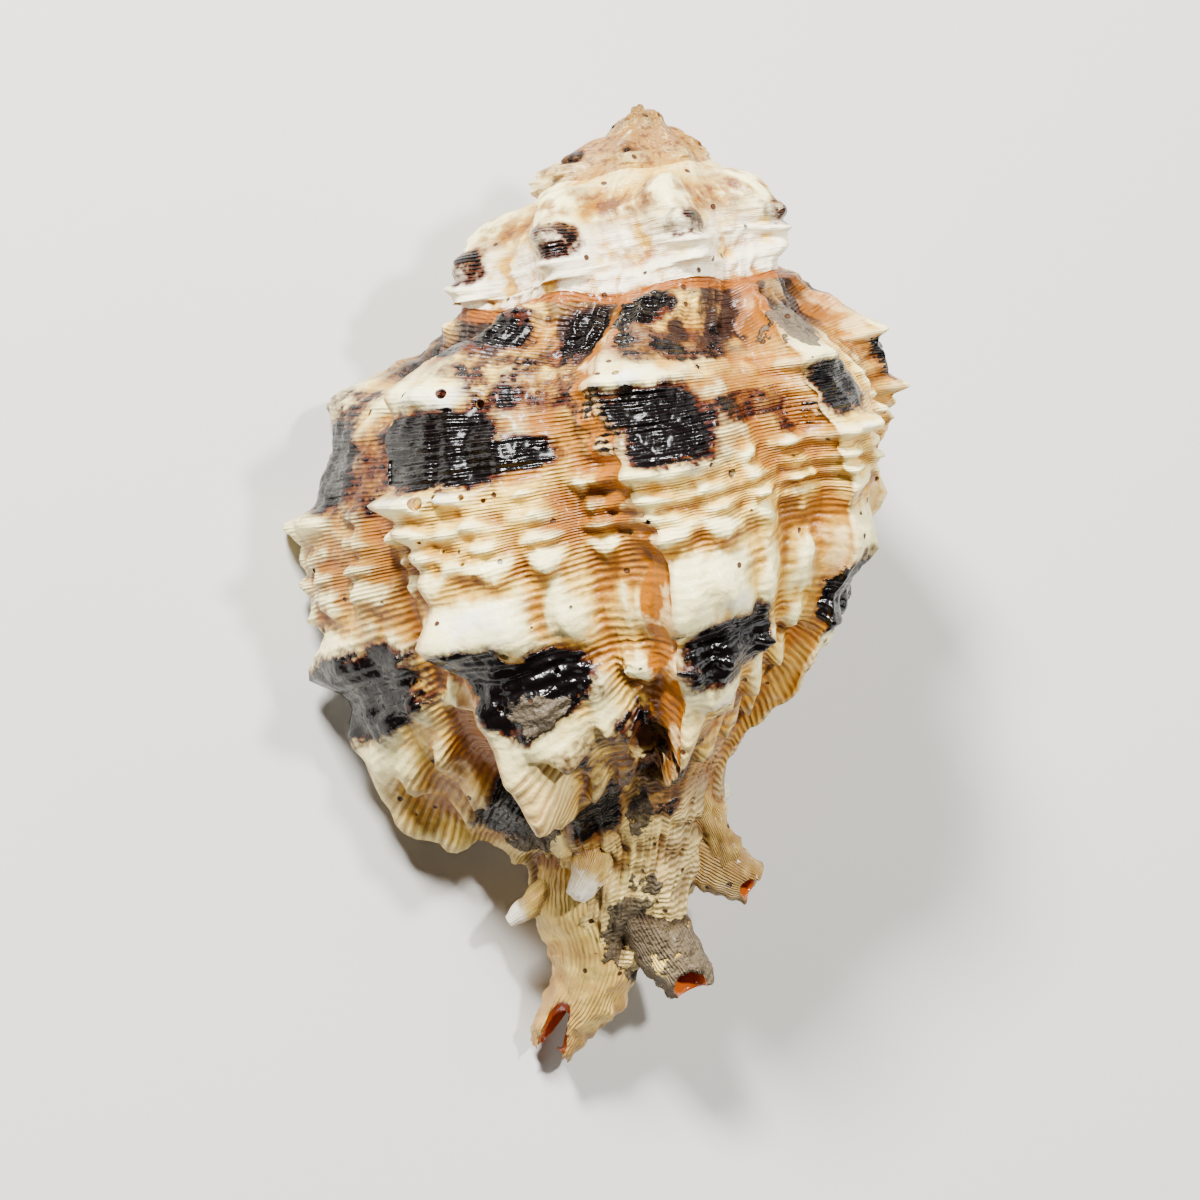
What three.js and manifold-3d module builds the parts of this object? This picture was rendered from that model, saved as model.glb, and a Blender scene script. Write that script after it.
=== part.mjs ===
// A murex shell: one piece that grew round a coiling axis, lying on its aperture with its back up.
//
// The shell is worked out in its growth frame. The coiling axis is Y, with the tip of the spire at the
// origin and the siphonal canal towards -Y. +Z is the back of the shell and -X the side of its outer lip.
// A place on the surface has two coordinates. The turn is 0 at the outer lip and falls by 1 for each whorl
// back towards the tip. The line counts the spiral lines of the profile, from the suture (0) down to the
// end of the neck. Each line is a spiral of its own: its radius and its drop below the tip grow by a
// constant factor in every whorl.

import * as THREE from "three";
import Module from "manifold-3d";
import { mergeVertices } from "three/addons/utils/BufferGeometryUtils.js";

// ---------------------------------------------------------------- driving dimensions, mm and degrees

const lipAngle = 98; // the outer lip's place round the axis, measured from the middle of the back
const whorlsBuilt = 4.6; // whorls from the lip back to the rounded tip of the spire
const varixSpacing = 47.3; // degrees from one old, thickened lip (a varix) to the next
const varixHeight = 3.3; // how far a varix stands above the whorl between, at the lip
const edgeOverhang = 3; // degrees by which the edge of a varix hangs over its foot
const sculptureGrowth = 1.7; // factor by which varices and knobs grow in one whorl
const wall = 2.1; // thickness of the whorl's wall at the lip
const callus = 0.9; // shell laid over the older whorl inside the aperture
const livingSpaceTurns = 0.8; // how far up the coil the space inside is hollow
const canalBore = 2.1; // radius of the siphonal canal where it leaves the aperture
const slitWidth = 1.8; // width of the slit along the canal
const oldCanalBore = 0.6; // bore of an old canal's end, as a share of its radius
const shoulderSag = 3.4; // how much lower the shoulder runs, half a whorl behind the lip
const spireLean = 0.13; // how far the spire rises at its back for each mm towards the back
const neckBend = 0.1; // how fast the neck bends towards the lip below its top
const restRoll = -20.3; // how the shell leans about its own axis when it lies on its aperture
const restPitch = 12.7; // how far its canal end dips

// Each spiral line at the outer lip: radius, drop below the tip, the growth of both in one whorl, and how
// steeply the varices and knobs there point down from straight out (a minus points up), in degrees.
const spiralLines = [
  { name: "suture", radius: 18.9, drop: 25.4, widens: 1.78, descends: 2.3, points: -20 },
  { name: "ramp", radius: 24.0, drop: 30.0, widens: 1.78, descends: 2.25, points: -30 },
  { name: "shoulder", radius: 30.0, drop: 35.0, widens: 1.78, descends: 2.2, points: -8 },
  { name: "upper band", radius: 33.4, drop: 41.6, widens: 1.78, descends: 2.2, points: -2 },
  { name: "periphery", radius: 34.6, drop: 48.4, widens: 1.78, descends: 2.2, points: 0 },
  { name: "flank", radius: 34.4, drop: 53.6, widens: 1.78, descends: 2.25, points: 4 },
  { name: "next suture", radius: 33.64, drop: 58.42, widens: 1.78, descends: 2.3, points: 10 },
  { name: "lower band", radius: 30.4, drop: 67.4, widens: 1.74, descends: 1.75, points: 22 },
  { name: "upper base", radius: 25.2, drop: 75.6, widens: 1.78, descends: 1.66, points: 66 },
  { name: "lower base", radius: 17.2, drop: 82.0, widens: 2.0, descends: 1.45, points: 84 },
  { name: "neck top", radius: 12.0, drop: 88.4, widens: 1.95, descends: 1.32, points: 50 },
  { name: "neck middle", radius: 9.2, drop: 94.0, widens: 1.5, descends: 1.16, points: 30 },
  { name: "neck end", radius: 6.0, drop: 99.0, widens: 1.15, descends: 1.05, points: 20 },
  { name: "neck tip", radius: 0, drop: 101, widens: 1, descends: 1, points: 0 },
];
const nextSuture = 6; // the line from which a whorl is covered by the next one
const lastLine = spiralLines.length - 1;

// The knobs that each varix carries: the spiral line each sits on, its height above the varix in mm, and
// its half-width in lines.
const knobs = [
  { line: 2.05, height: 3.4, spread: 0.42 },
  { line: 3.8, height: 2.4, spread: 0.32 },
  { line: 5.1, height: 1.0, spread: 0.3 },
  { line: 6.45, height: 2.0, spread: 0.34 },
  { line: 7.5, height: 2.2, spread: 0.3 },
];

// The long spine on the base of each varix of the last whorl, youngest varix first, mm.
const baseSpines = { line: 8.2, spread: 0.36, heights: [6.2, 9.6, 6.0, 4.0, 4.5, 4.5, 4.5, 4.5] };

// The open canal, as stops on its centre line with the outer radius there.
const canalPath = [
  { at: [-5.6, -84, 0.5], radius: 6.0 },
  { at: [-6.6, -92, 0.5], radius: 5.9 },
  { at: [-5.6, -98, 0.3], radius: 5.5 },
  { at: [-6.2, -102.7, 0], radius: 4.8 },
  { at: [-8.2, -106.2, -0.4], radius: 4.1 },
  { at: [-10.2, -109.6, -0.8], radius: 3.4 },
];

// The ends of earlier canals, left standing beside the newest one.
const oldCanals = [
  [
    { at: [-1.0, -90, 3.0], radius: 4.0 },
    { at: [2.0, -96, 3.6], radius: 3.9 },
    { at: [4.6, -99.6, 4.0], radius: 3.3 },
    { at: [5.6, -101.8, 4.0], radius: 2.7 },
  ],
  [
    { at: [3.4, -84.5, 2.0], radius: 3.9 },
    { at: [8.4, -87.4, 2.2], radius: 3.4 },
    { at: [12.8, -89.8, 2.4], radius: 2.6 },
  ],
];

const neckSpines = [
  [
    { at: [4.0, -79.6, 2.5], radius: 3.2 },
    { at: [7.6, -79.0, 2.8], radius: 2.0 },
    { at: [10.0, -78.8, 3.0], radius: 0.7 },
  ],
  [
    { at: [-4.6, -83.2, 5.4], radius: 2.6 },
    { at: [-6.2, -87.6, 8.6], radius: 2.2 },
    { at: [-7.8, -90.2, 9.6], radius: 1.3 },
  ],
  [
    { at: [-8.4, -88.6, 2.2], radius: 2.4 },
    { at: [-12.2, -91.6, 2.8], radius: 1.7 },
    { at: [-15.4, -94.0, 3.0], radius: 0.8 },
  ],
];

// Where the mesh has its rows, and its columns within each varix interval.
const whorlRows = [0, 0.5, 1.2, 2.05, 2.5, 3.1, 3.8, 4.4, 5.1];
const baseRows = [6, 6.45, 7.0, 7.5, 7.9, 8.3, 8.8, 9.4, 10.2, 11, 11.8, 12.5];
const columnFractions = [0, 0.06, 0.14, 0.28, 0.5, 0.75, 0.97];

const wasm = await Module();
wasm.setup();

// ---------------------------------------------------------------- the growth law

const radians = THREE.MathUtils.degToRad;
const easeIn = (x, from, over) => THREE.MathUtils.smoothstep((x - from) / over, 0, 1);
const bell = (x, centre, spread) => Math.exp(-(((x - centre) / spread) ** 2));

// A smooth curve through one measure of all the spiral lines.
function lineCurve(measure) {
  const points = spiralLines.map((line, i) => new THREE.Vector2(i, measure(line)));
  const curve = new THREE.SplineCurve(points);
  return (line) => curve.getPoint(THREE.MathUtils.clamp(line / lastLine, 0, 1)).y;
}
const radiusAtLip = lineCurve((line) => line.radius);
const dropAtLip = lineCurve((line) => line.drop);
const widening = lineCurve((line) => Math.log(line.widens));
const descent = lineCurve((line) => Math.log(line.descends));
const downTilt = lineCurve((line) => radians(line.points));

// The shoulder runs low half a whorl behind the lip, and the old whorls carry theirs higher than the rest.
const sagAt = (turn) => shoulderSag * bell(turn, -0.6, 0.36);
const liftAt = (turn) => 0.148 * Math.min(0, turn + 1.05);

// The plain whorl, with no varices, as (radius, drop) in the half-plane through the axis.
function plainProfile(turn, line) {
  const onWhorl = easeIn(line, 0, 1.5) * easeIn(-line, -nextSuture, 1.5);
  const sag = sagAt(turn) * (1 - easeIn(line, 1.6, 2)) + sagAt(turn + 1) * bell(line, nextSuture, 0.8);
  const radius = radiusAtLip(line) * Math.exp(widening(line) * turn);
  const drop = dropAtLip(line) * Math.exp(descent(line) * turn + onWhorl * liftAt(turn));
  return new THREE.Vector2(radius, drop + sag);
}

// The outward normal of the plain profile.
function profileNormal(turn, line) {
  const step = 0.05;
  const above = plainProfile(turn, Math.max(0, line - step));
  const below = plainProfile(turn, Math.min(lastLine, line + step));
  const along = below.sub(above).normalize();
  return new THREE.Vector2(along.y, -along.x);
}

// The number of the nearest younger varix edge, and how far behind it a turn lies, as a share of the
// interval.
function varixPlace(turn) {
  const rounding = 1e-6;
  const phase = (-360 * turn) / varixSpacing + rounding;
  return { number: Math.floor(phase), behind: phase - Math.floor(phase) };
}

// Sculpture grows with the whorl, and is worn low on the old whorls of the spire.
const sculptureSize = (turn) => sculptureGrowth ** turn * (1 - 0.35 * easeIn(-turn, 1, 0.3));

// Height of the varices above the plain whorl: full at the edge, falling away behind it, with a low rib
// between.
function varixRelief(turn) {
  const { behind } = varixPlace(turn);
  const ridge = 1 - easeIn(behind, 0.1, 0.55);
  const rib = 0.25 * bell(behind, 0.64, 0.12);
  return varixHeight * sculptureSize(turn) * (ridge + rib);
}

function knobRelief(turn, line) {
  const { number, behind } = varixPlace(turn);
  const spine = (baseSpines.heights[number] ?? 0) * bell(line, baseSpines.line, baseSpines.spread);
  const heights = knobs.map((knob) => knob.height * bell(line, knob.line, knob.spread));
  const height = heights.reduce((sum, one) => sum + one, spine);
  return sculptureSize(turn) * bell(behind, 0.06, 0.17) * height;
}

// How far the surface stands out from the plain whorl. At its suture a whorl takes on the relief of the
// one above.
function relief(turn, line) {
  const taken = 1 - easeIn(line, 0, 1.4);
  const own = easeIn(line, 0.5, 1.4) * (1 - easeIn(line, 8.4, 1.8));
  return taken * varixRelief(turn - 1) + own * (varixRelief(turn) + knobRelief(turn, line));
}

// Varices lean: their edge runs forward at the shoulder and back on the base.
const leanAt = (line) => 9 * bell(line, 1.9, 1.3) - 13 * easeIn(line, 4.5, 5);

// The spire leans a little towards the aperture, and the neck bends towards the lip.
function bendAxis(p) {
  const onSpire = easeIn(p.y, -26, 10);
  const past = Math.max(0, -p.y - 84);
  return new THREE.Vector3(p.x - neckBend * past ** 1.25, p.y + spireLean * onSpire * p.z, p.z);
}

function placed(turn, line, profile, ahead = 0) {
  const angle = radians(lipAngle + 360 * turn + leanAt(line) + ahead);
  return bendAxis(new THREE.Vector3(-profile.x * Math.sin(angle), -profile.y, profile.x * Math.cos(angle)));
}

function outerPoint(turn, line) {
  const way = new THREE.Vector2(Math.cos(downTilt(line)), Math.sin(downTilt(line)));
  const profile = plainProfile(turn, line).addScaledVector(way, relief(turn, line));
  const hasEdge = easeIn(line, 0, 1) * (1 - easeIn(line, 8, 2));
  return placed(turn, line, profile, edgeOverhang * hasEdge * bell(varixPlace(turn).behind, 0, 0.03));
}

function offsetPoint(turn, line, outward) {
  return placed(turn, line, plainProfile(turn, line).addScaledVector(profileNormal(turn, line), outward));
}

// ---------------------------------------------------------------- meshes and solids

// A list of numbers and a list of corner indices, as a manifold-3d solid.
function solidFrom(positions, corners) {
  const geometry = new THREE.BufferGeometry();
  geometry.setAttribute("position", new THREE.Float32BufferAttribute(positions, 3));
  geometry.setIndex(corners);
  const merged = mergeVertices(geometry, 1e-4);
  const vertProperties = merged.attributes.position.array;
  const triVerts = new Uint32Array(merged.index.array);
  return new wasm.Manifold(new wasm.Mesh({ numProp: 3, vertProperties, triVerts }));
}

function geometryFrom(solid) {
  const mesh = solid.getMesh();
  const geometry = new THREE.BufferGeometry();
  geometry.setAttribute("position", new THREE.BufferAttribute(mesh.vertProperties, 3));
  geometry.setIndex(new THREE.BufferAttribute(mesh.triVerts, 1));
  geometry.computeVertexNormals();
  return geometry;
}

// Triangles that fill a flat outline. In rising order, their corners run the same way round as the outline
// does.
function fillOutline(outline) {
  return THREE.ShapeUtils.triangulateShape(outline, []).map((face) => face.sort((a, b) => a - b));
}

// Joins rings of equal length into a closed tube whose ends are filled with the given triangles. The rings
// run clockwise as seen from the last one.
function loft(rings, endFaces) {
  const count = rings[0].length;
  const last = (rings.length - 1) * count;
  const corners = [];
  for (let start = 0; start < last; start += count) {
    for (let i = 0; i < count; i++) {
      const a = start + i;
      const b = start + ((i + 1) % count);
      corners.push(a, b + count, b, a, a + count, b + count);
    }
  }
  for (const [a, b, c] of endFaces) corners.push(a, b, c, last + a, last + c, last + b);
  return solidFrom(rings.flat().flatMap((p) => p.toArray()), corners);
}

// A round tube about a path of stops.
function tube(path, sides) {
  const centres = path.map((stop) => new THREE.Vector3(...stop.at));
  const rings = centres.map((centre, i) => {
    const before = centres[Math.max(0, i - 1)];
    const after = centres[Math.min(centres.length - 1, i + 1)];
    const along = after.clone().sub(before).normalize();
    const side = new THREE.Vector3(0, 0, 1).cross(along).normalize();
    const up = along.clone().cross(side);
    return Array.from({ length: sides }, (_, k) => {
      const angle = (-2 * Math.PI * k) / sides;
      const across = side.clone().multiplyScalar(Math.cos(angle)).addScaledVector(up, Math.sin(angle));
      return centre.clone().addScaledVector(across, path[i].radius);
    });
  });
  const fan = Array.from({ length: sides - 2 }, (_, k) => [0, k + 1, k + 2]);
  return loft(rings, fan);
}

// Carries a path on past its last stop, so that a bore comes out of the end.
function runOut(path, length) {
  const [before, last] = path.slice(-2);
  const from = new THREE.Vector3(...before.at);
  const to = new THREE.Vector3(...last.at);
  const beyond = to.clone().addScaledVector(to.clone().sub(from).normalize(), length);
  return [...path, { at: beyond.toArray(), radius: last.radius }];
}

// ---------------------------------------------------------------- the shell's pieces of form

// The whorls as one filled solid. It is a spiral ribbon whose lower edge is the next whorl's suture, so
// that each whorl is glued to the one above along one row of shared points.
function filledWhorls() {
  const varicesPerWhorl = 360 / varixSpacing;
  const phases = [];
  for (let varix = 0; varix < varicesPerWhorl; varix++) {
    phases.push(...columnFractions.map((fraction) => varix + fraction));
  }
  const perWhorl = phases.findIndex((phase) => phase > varicesPerWhorl - 0.06);
  const columns = Math.round(perWhorl * whorlsBuilt);
  const rows = [...whorlRows, ...baseRows];
  const turnOf = (i) => -(phases[i % perWhorl] / varicesPerWhorl + Math.floor(i / perWhorl));

  const positions = [];
  const add = (p) => positions.push(...p.toArray()) / 3 - 1;
  const neckTip = add(bendAxis(new THREE.Vector3(0, -spiralLines[lastLine].drop, 0)));
  const spireTip = add(new THREE.Vector3(0, -0.3, 0));
  const known = new Map();
  const vertex = (i, j) => {
    if (j === rows.length) return neckTip;
    if (j === whorlRows.length && i >= perWhorl) return vertex(i - perWhorl, 0);
    const key = `${i} ${j}`;
    if (!known.has(key)) known.set(key, add(outerPoint(turnOf(i), rows[j])));
    return known.get(key);
  };

  const corners = [];
  const face = (a, b, c) => {
    if (a !== b && b !== c && c !== a) corners.push(a, b, c);
  };
  for (let i = 0; i < columns; i++) {
    const rowsHere = i < perWhorl ? rows.length : whorlRows.length;
    for (let j = 0; j < rowsHere; j++) {
      face(vertex(i, j), vertex(i, j + 1), vertex(i + 1, j + 1));
      face(vertex(i, j), vertex(i + 1, j + 1), vertex(i + 1, j));
    }
  }

  // The tip of the spire closes the first whorl.
  for (let i = columns - perWhorl; i < columns; i++) face(vertex(i, 0), vertex(i + 1, 0), spireTip);
  for (let j = 0; j < whorlRows.length; j++) face(vertex(columns, j), vertex(columns, j + 1), spireTip);

  // A flat face closes the step from the lip down to the whorl a turn earlier. The aperture is cut through
  // it.
  const lip = Array.from({ length: rows.length + 1 }, (_, j) => vertex(0, j));
  const upwards = (_, j) => vertex(perWhorl, rows.length - 1 - j);
  const earlier = Array.from({ length: baseRows.length - 1 }, upwards);
  const outline = [...lip, ...earlier];
  const flat = outline.map((v) => {
    const [x, y, z] = positions.slice(3 * v, 3 * v + 3);
    return new THREE.Vector2(Math.hypot(x, z), -y);
  });
  for (const [a, b, c] of fillOutline(flat)) corners.push(outline[a], outline[c], outline[b]);
  return solidFrom(positions, corners);
}

// The space the animal lived in: it follows the coil, between the whorl's wall and the whorl before.
function livingSpace() {
  const outerLines = [0.9, 1.5, 2.2, 3, 4, 5, 6, 7, 7.8, 8.6, 9.3, 9.9];
  const innerLines = [10.6, 9.8, 9.0, 8.2, 7.4, 6.8, 6.3];
  const pastLip = 0.07;
  const step = 0.055;
  const rings = [];
  for (let turn = pastLip; turn > -livingSpaceTurns; turn -= step) {
    const size = sculptureGrowth ** Math.min(0, turn);
    const outside = outerLines.map((line) => offsetPoint(turn, line, -wall * size));
    const inside = innerLines.map((line) => offsetPoint(turn - 1, line, callus * size));
    rings.push([...inside.reverse(), ...outside.reverse()]);
  }
  const flat = rings[0].map((p) => new THREE.Vector2(Math.hypot(p.x, p.z), -p.y));
  return loft(rings, fillOutline(flat));
}

// The slit that keeps the canal open along the aperture side.
function canalSlit() {
  const half = slitWidth / 2;
  const depth = 14;
  const section = [
    [-half, 0],
    [half, 0],
    [half, -depth],
    [-half, -depth],
  ];
  const rings = canalPath.map(({ at: [x, y, z] }) => {
    return section.map(([across, up]) => new THREE.Vector3(x + across, y, z + up));
  });
  const faces = [
    [0, 1, 2],
    [0, 2, 3],
  ];
  return loft(rings, faces);
}

// The bore of the canal narrows towards its end.
function canalHollow() {
  const widest = canalPath[0].radius;
  const boreBy = (radius) => canalBore * (0.6 + (0.4 * radius) / widest);
  const narrowed = canalPath.map(({ at, radius }) => ({ at, radius: boreBy(radius) }));
  return tube(runOut(narrowed, 4), 10);
}

function oldCanalHollow(path) {
  const end = path.slice(-2).map(({ at, radius }) => ({ at, radius: radius * oldCanalBore }));
  return tube(runOut(end, 3), 8);
}

function shellSolid() {
  let solid = filledWhorls().add(tube(canalPath, 12));
  for (const path of [...oldCanals, ...neckSpines]) solid = solid.add(tube(path, 10));
  for (const hollow of [livingSpace(), canalHollow(), canalSlit(), ...oldCanals.map(oldCanalHollow)]) {
    solid = solid.subtract(hollow);
  }
  return solid;
}

// ---------------------------------------------------------------- the part, at rest on its aperture

const rest = new THREE.Matrix4().makeRotationX(radians(restPitch));
rest.multiply(new THREE.Matrix4().makeRotationY(radians(restRoll)));

const geometry = geometryFrom(shellSolid()).applyMatrix4(rest);
geometry.computeBoundingBox();
const { min, max } = geometry.boundingBox;
geometry.translate(-(min.x + max.x) / 2, -(min.y + max.y) / 2, -min.z);

const oiledShell = new THREE.MeshStandardMaterial({ color: "#dcc191", roughness: 0.4, metalness: 0 });
const shell = new THREE.Mesh(geometry, oiledShell);
shell.name = "murex_shell";

const group = new THREE.Group();
group.add(shell);
export default group;
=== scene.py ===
# %% [markdown]
# # A murex shell, oiled and lying on its mouth
# A murex is one piece of shell that grew round an axis. Every so often the animal stopped and built a thick,
# knobbed lip, a varix, and those old lips stand up as ridges along each whorl. This lesson grows the whorls
# with a Geometry Nodes tree that follows the growth law, cuts the mouth and the canal out of them, wears the
# tip, lists the patches and crusts of this one shell, and gives it an oiled, banded finish. The imported model
# is measured and then hidden.

import ast
import math
import textwrap

import bmesh
import bpy
import numpy as np
from mathutils import Matrix, Vector
from mathutils.geometry import tessellate_polygon


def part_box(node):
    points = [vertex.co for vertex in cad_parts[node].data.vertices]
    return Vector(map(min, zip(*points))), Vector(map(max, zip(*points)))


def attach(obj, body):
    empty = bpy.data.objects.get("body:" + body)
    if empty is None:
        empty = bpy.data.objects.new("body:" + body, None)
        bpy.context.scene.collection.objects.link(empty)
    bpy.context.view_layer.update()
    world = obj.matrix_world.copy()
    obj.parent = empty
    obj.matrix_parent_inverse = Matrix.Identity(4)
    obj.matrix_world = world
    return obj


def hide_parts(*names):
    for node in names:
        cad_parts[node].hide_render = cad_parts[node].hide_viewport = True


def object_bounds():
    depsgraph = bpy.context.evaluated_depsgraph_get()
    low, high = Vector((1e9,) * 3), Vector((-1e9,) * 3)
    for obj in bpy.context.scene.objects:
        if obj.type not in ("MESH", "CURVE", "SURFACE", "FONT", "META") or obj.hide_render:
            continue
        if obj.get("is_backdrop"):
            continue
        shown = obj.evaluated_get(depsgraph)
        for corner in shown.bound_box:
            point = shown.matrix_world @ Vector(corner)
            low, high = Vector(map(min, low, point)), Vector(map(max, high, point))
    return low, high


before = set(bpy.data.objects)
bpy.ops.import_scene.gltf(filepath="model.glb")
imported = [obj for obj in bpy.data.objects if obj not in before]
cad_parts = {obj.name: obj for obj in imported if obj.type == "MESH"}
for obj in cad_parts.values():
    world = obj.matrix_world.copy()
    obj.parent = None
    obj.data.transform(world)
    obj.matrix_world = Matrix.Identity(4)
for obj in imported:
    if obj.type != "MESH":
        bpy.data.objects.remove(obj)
CAD_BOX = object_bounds()
LOW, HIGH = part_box("murex_shell")
MM = 0.001
print("the packed shell measures", *[round((high - low) / MM, 1) for low, high in zip(LOW, HIGH)], "mm")

# %% [markdown]
# ## Where the shell lies
# The shell could be modelled as it lies, but then every formula would carry its tilt. It is easier to grow it
# about its own axis: the tip of the spire at the origin, the canal towards -Y, the back up and the lip at -X,
# all in millimetres. At rest it has rolled onto its mouth. So every piece is grown in that frame, and one
# matrix at the end turns it, lays it on the floor and brings it to metres.

# %% The turn from the growth frame to the resting shell
REST_ROLL = math.radians(-20.3)
REST_PITCH = math.radians(12.7)
SPIRE_TIP = Vector((3.95, 54.2, 31.21))
lean = Matrix.Rotation(REST_PITCH, 4, "X") @ Matrix.Rotation(REST_ROLL, 4, "Y")
AT_REST = Matrix.Scale(MM, 4) @ Matrix.Translation(SPIRE_TIP) @ lean
print("the spire's tip rests", round(SPIRE_TIP.z, 1), "mm above the floor")

# %% [markdown]
# ## The camera
# The shell is seen from above its back, with the spire up and the canal down, along a line that stands 6
# degrees off the plane across its axis. A short lens would swell the near knobs, so a long one from well away
# keeps the proportions true.

# %% Camera
VIEW_TILT = math.radians(6)
VIEW_WIDTH = 137.5 * MM
LENS = 200.0
SENSOR = 36.0
AIM = Vector((-4.93, -57.2, 0))

across = lean.to_3x3() @ Vector((1, 0, 0))
upward = lean.to_3x3() @ Vector((0, math.cos(VIEW_TILT), -math.sin(VIEW_TILT)))
backward = lean.to_3x3() @ Vector((0, math.sin(VIEW_TILT), math.cos(VIEW_TILT)))
camera_data = bpy.data.cameras.new("camera")
camera_data.lens = LENS
camera_data.sensor_width = SENSOR
camera_data.clip_start = 0.05
camera = bpy.data.objects.new("camera", camera_data)
away = VIEW_WIDTH * LENS / SENSOR
turned = Matrix((across, upward, backward)).transposed().to_4x4()
camera.matrix_world = Matrix.Translation(AT_REST @ AIM + backward * away) @ turned
bpy.context.scene.collection.objects.link(camera)
bpy.context.scene.camera = camera
camera_height = round(math.degrees(math.asin(backward.z)))
print("the camera stands", round(away, 2), "m away,", camera_height, "degrees up")

# %% [markdown]
# ## Helpers for node trees
# A tree is easier to read when a node takes one line, so one function adds a node with its settings and its
# links. The growth law is arithmetic. It could be wired up as single Math nodes, but that would fill pages,
# so a second function reads lines of plain formulas and adds the nodes that they stand for. A third starts
# a Geometry Nodes tree with its named inputs. The shape and the finish both use them.

# %% Add a node
def add_node(tree, kind, inputs=None, **settings):
    """Adds a node, sets its properties, and fills its inputs with values or with links."""
    node = tree.nodes.new(kind)
    for name, value in settings.items():
        setattr(node, name, value)
    for name, value in (inputs or {}).items():
        if isinstance(value, bpy.types.NodeSocket):
            tree.links.new(value, node.inputs[name])
        else:
            node.inputs[name].default_value = value
    return node


# %% Turn formulas into nodes
SIGNS = {ast.Add: "ADD", ast.Sub: "SUBTRACT", ast.Mult: "MULTIPLY", ast.Div: "DIVIDE", ast.Pow: "POWER"}
WORDS = {
    "sin": "SINE", "cos": "COSINE", "exp": "EXPONENT", "floor": "FLOOR", "abs": "ABSOLUTE",
    "min": "MINIMUM", "max": "MAXIMUM", "above": "GREATER_THAN", "below": "LESS_THAN",
}
EASE_INPUTS = ("Value", "From Min", "From Max")
BELL_INPUTS = ("x", "middle", "width")
BELL = "value = exp(0 - ((x - middle) / width) ** 2)"


def formulas(tree, text, **known):
    """Adds the nodes for lines such as 'radius = wide * exp(rate * turn)' and returns the named results.
    ease(x, a, b) rises smoothly from 0 at a to 1 at b. bell(x, c, w) is 1 at c and dies away over w.
    above(a, b) and below(a, b) are 1 where that is so, and 0 elsewhere."""
    def result(part):
        if isinstance(part, ast.Constant):
            return float(part.value)
        if isinstance(part, ast.Name):
            return known[part.id]
        if isinstance(part, ast.UnaryOp):
            return -result(part.operand)
        if isinstance(part, ast.BinOp):
            sides = {0: result(part.left), 1: result(part.right)}
            return add_node(tree, "ShaderNodeMath", sides, operation=SIGNS[type(part.op)]).outputs[0]
        word = part.func.id
        values = [result(one) for one in part.args]
        if word == "bell":
            return formulas(tree, BELL, **dict(zip(BELL_INPUTS, values)))["value"]
        if word == "ease":
            ends = dict(zip(EASE_INPUTS, values))
            return add_node(tree, "ShaderNodeMapRange", ends, interpolation_type="SMOOTHSTEP").outputs[0]
        return add_node(tree, "ShaderNodeMath", dict(enumerate(values)), operation=WORDS[word]).outputs[0]

    for line in ast.parse(textwrap.dedent(text)).body:
        known[line.targets[0].id] = result(line.value)
    return known


# %% Start a Geometry Nodes tree, and name the finishes
def start_tree(name, inputs, output="Geometry", output_kind="Geometry"):
    """A new tree with named inputs, listed as (name, kind, value), and the sockets that they come in by."""
    tree = bpy.data.node_groups.new(name, "GeometryNodeTree")
    for title, kind, value in inputs:
        socket = tree.interface.new_socket(title, in_out="INPUT", socket_type="NodeSocket" + kind)
        if value is not None:
            socket.default_value = value
    tree.interface.new_socket(output, in_out="OUTPUT", socket_type="NodeSocket" + output_kind)
    return tree, add_node(tree, "NodeGroupInput").outputs


def end_tree(tree, geometry, finish):
    """Realizes what the tree made, sets its finish, and gives it out."""
    real = add_node(tree, "GeometryNodeRealizeInstances", {"Geometry": geometry})
    finished = add_node(tree, "GeometryNodeSetMaterial", {"Geometry": real.outputs[0], "Material": finish})
    add_node(tree, "NodeGroupOutput", {"Geometry": finished.outputs[0]})
    return tree


MATERIALS = {name: bpy.data.materials.new(name) for name in ("oiled_shell", "mouth_porcelain")}
print("finishes, still empty:", ", ".join(MATERIALS))

# %% [markdown]
# ## The growth law
# The whorls could be lofted through drawn sections, but each whorl is the one before, only larger, so a
# rule gives them all. A place on the shell has two coordinates. The turn is 0 at the outer lip and falls by
# 1 for each whorl back towards the tip. The line counts the spiral lines of the profile, from the suture,
# 0, down to the end of the neck, 13. Each line is a spiral whose radius and drop grow by a constant factor
# in every whorl, so a few measures for each line, joined by smooth curves, give the whole form. The law is
# a node group, because both the outside and the space inside are built from it.

# %% Measures of the spiral lines
LIP_ANGLE = 98  # degrees from the back round to the outer lip
LIP_GIRTH = 217  # mm round the last whorl
LINE_SPACING = 7  # mm from one line to the next
GROWTH_IN_A_WHORL = 1.7
WHORLS = 4.3
LAST_LINE = 13
RADIUS = [18.9, 24, 30, 33.4, 34.6, 34.4, 33.64, 30.4, 25.2, 17.2, 12, 9.2, 6, 0.02]
DROP = [25.4, 30, 35, 41.6, 48.4, 53.6, 58.42, 67.4, 75.6, 82, 88.4, 94, 99, 101]
WIDENS = [1.78, 1.78, 1.78, 1.78, 1.78, 1.78, 1.78, 1.74, 1.78, 2, 1.95, 1.5, 1.15, 1]
DESCENDS = [2.3, 2.25, 2.2, 2.2, 2.2, 2.25, 2.3, 1.75, 1.66, 1.45, 1.32, 1.16, 1.05, 1]
POINTS_DOWN = [-20, -30, -8, -2, 0, 4, 10, 22, 66, 84, 50, 30, 20, 0]
print("the last whorl is", 2 * max(RADIUS), "mm across, and the shell", max(DROP), "mm long without a canal")


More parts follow.
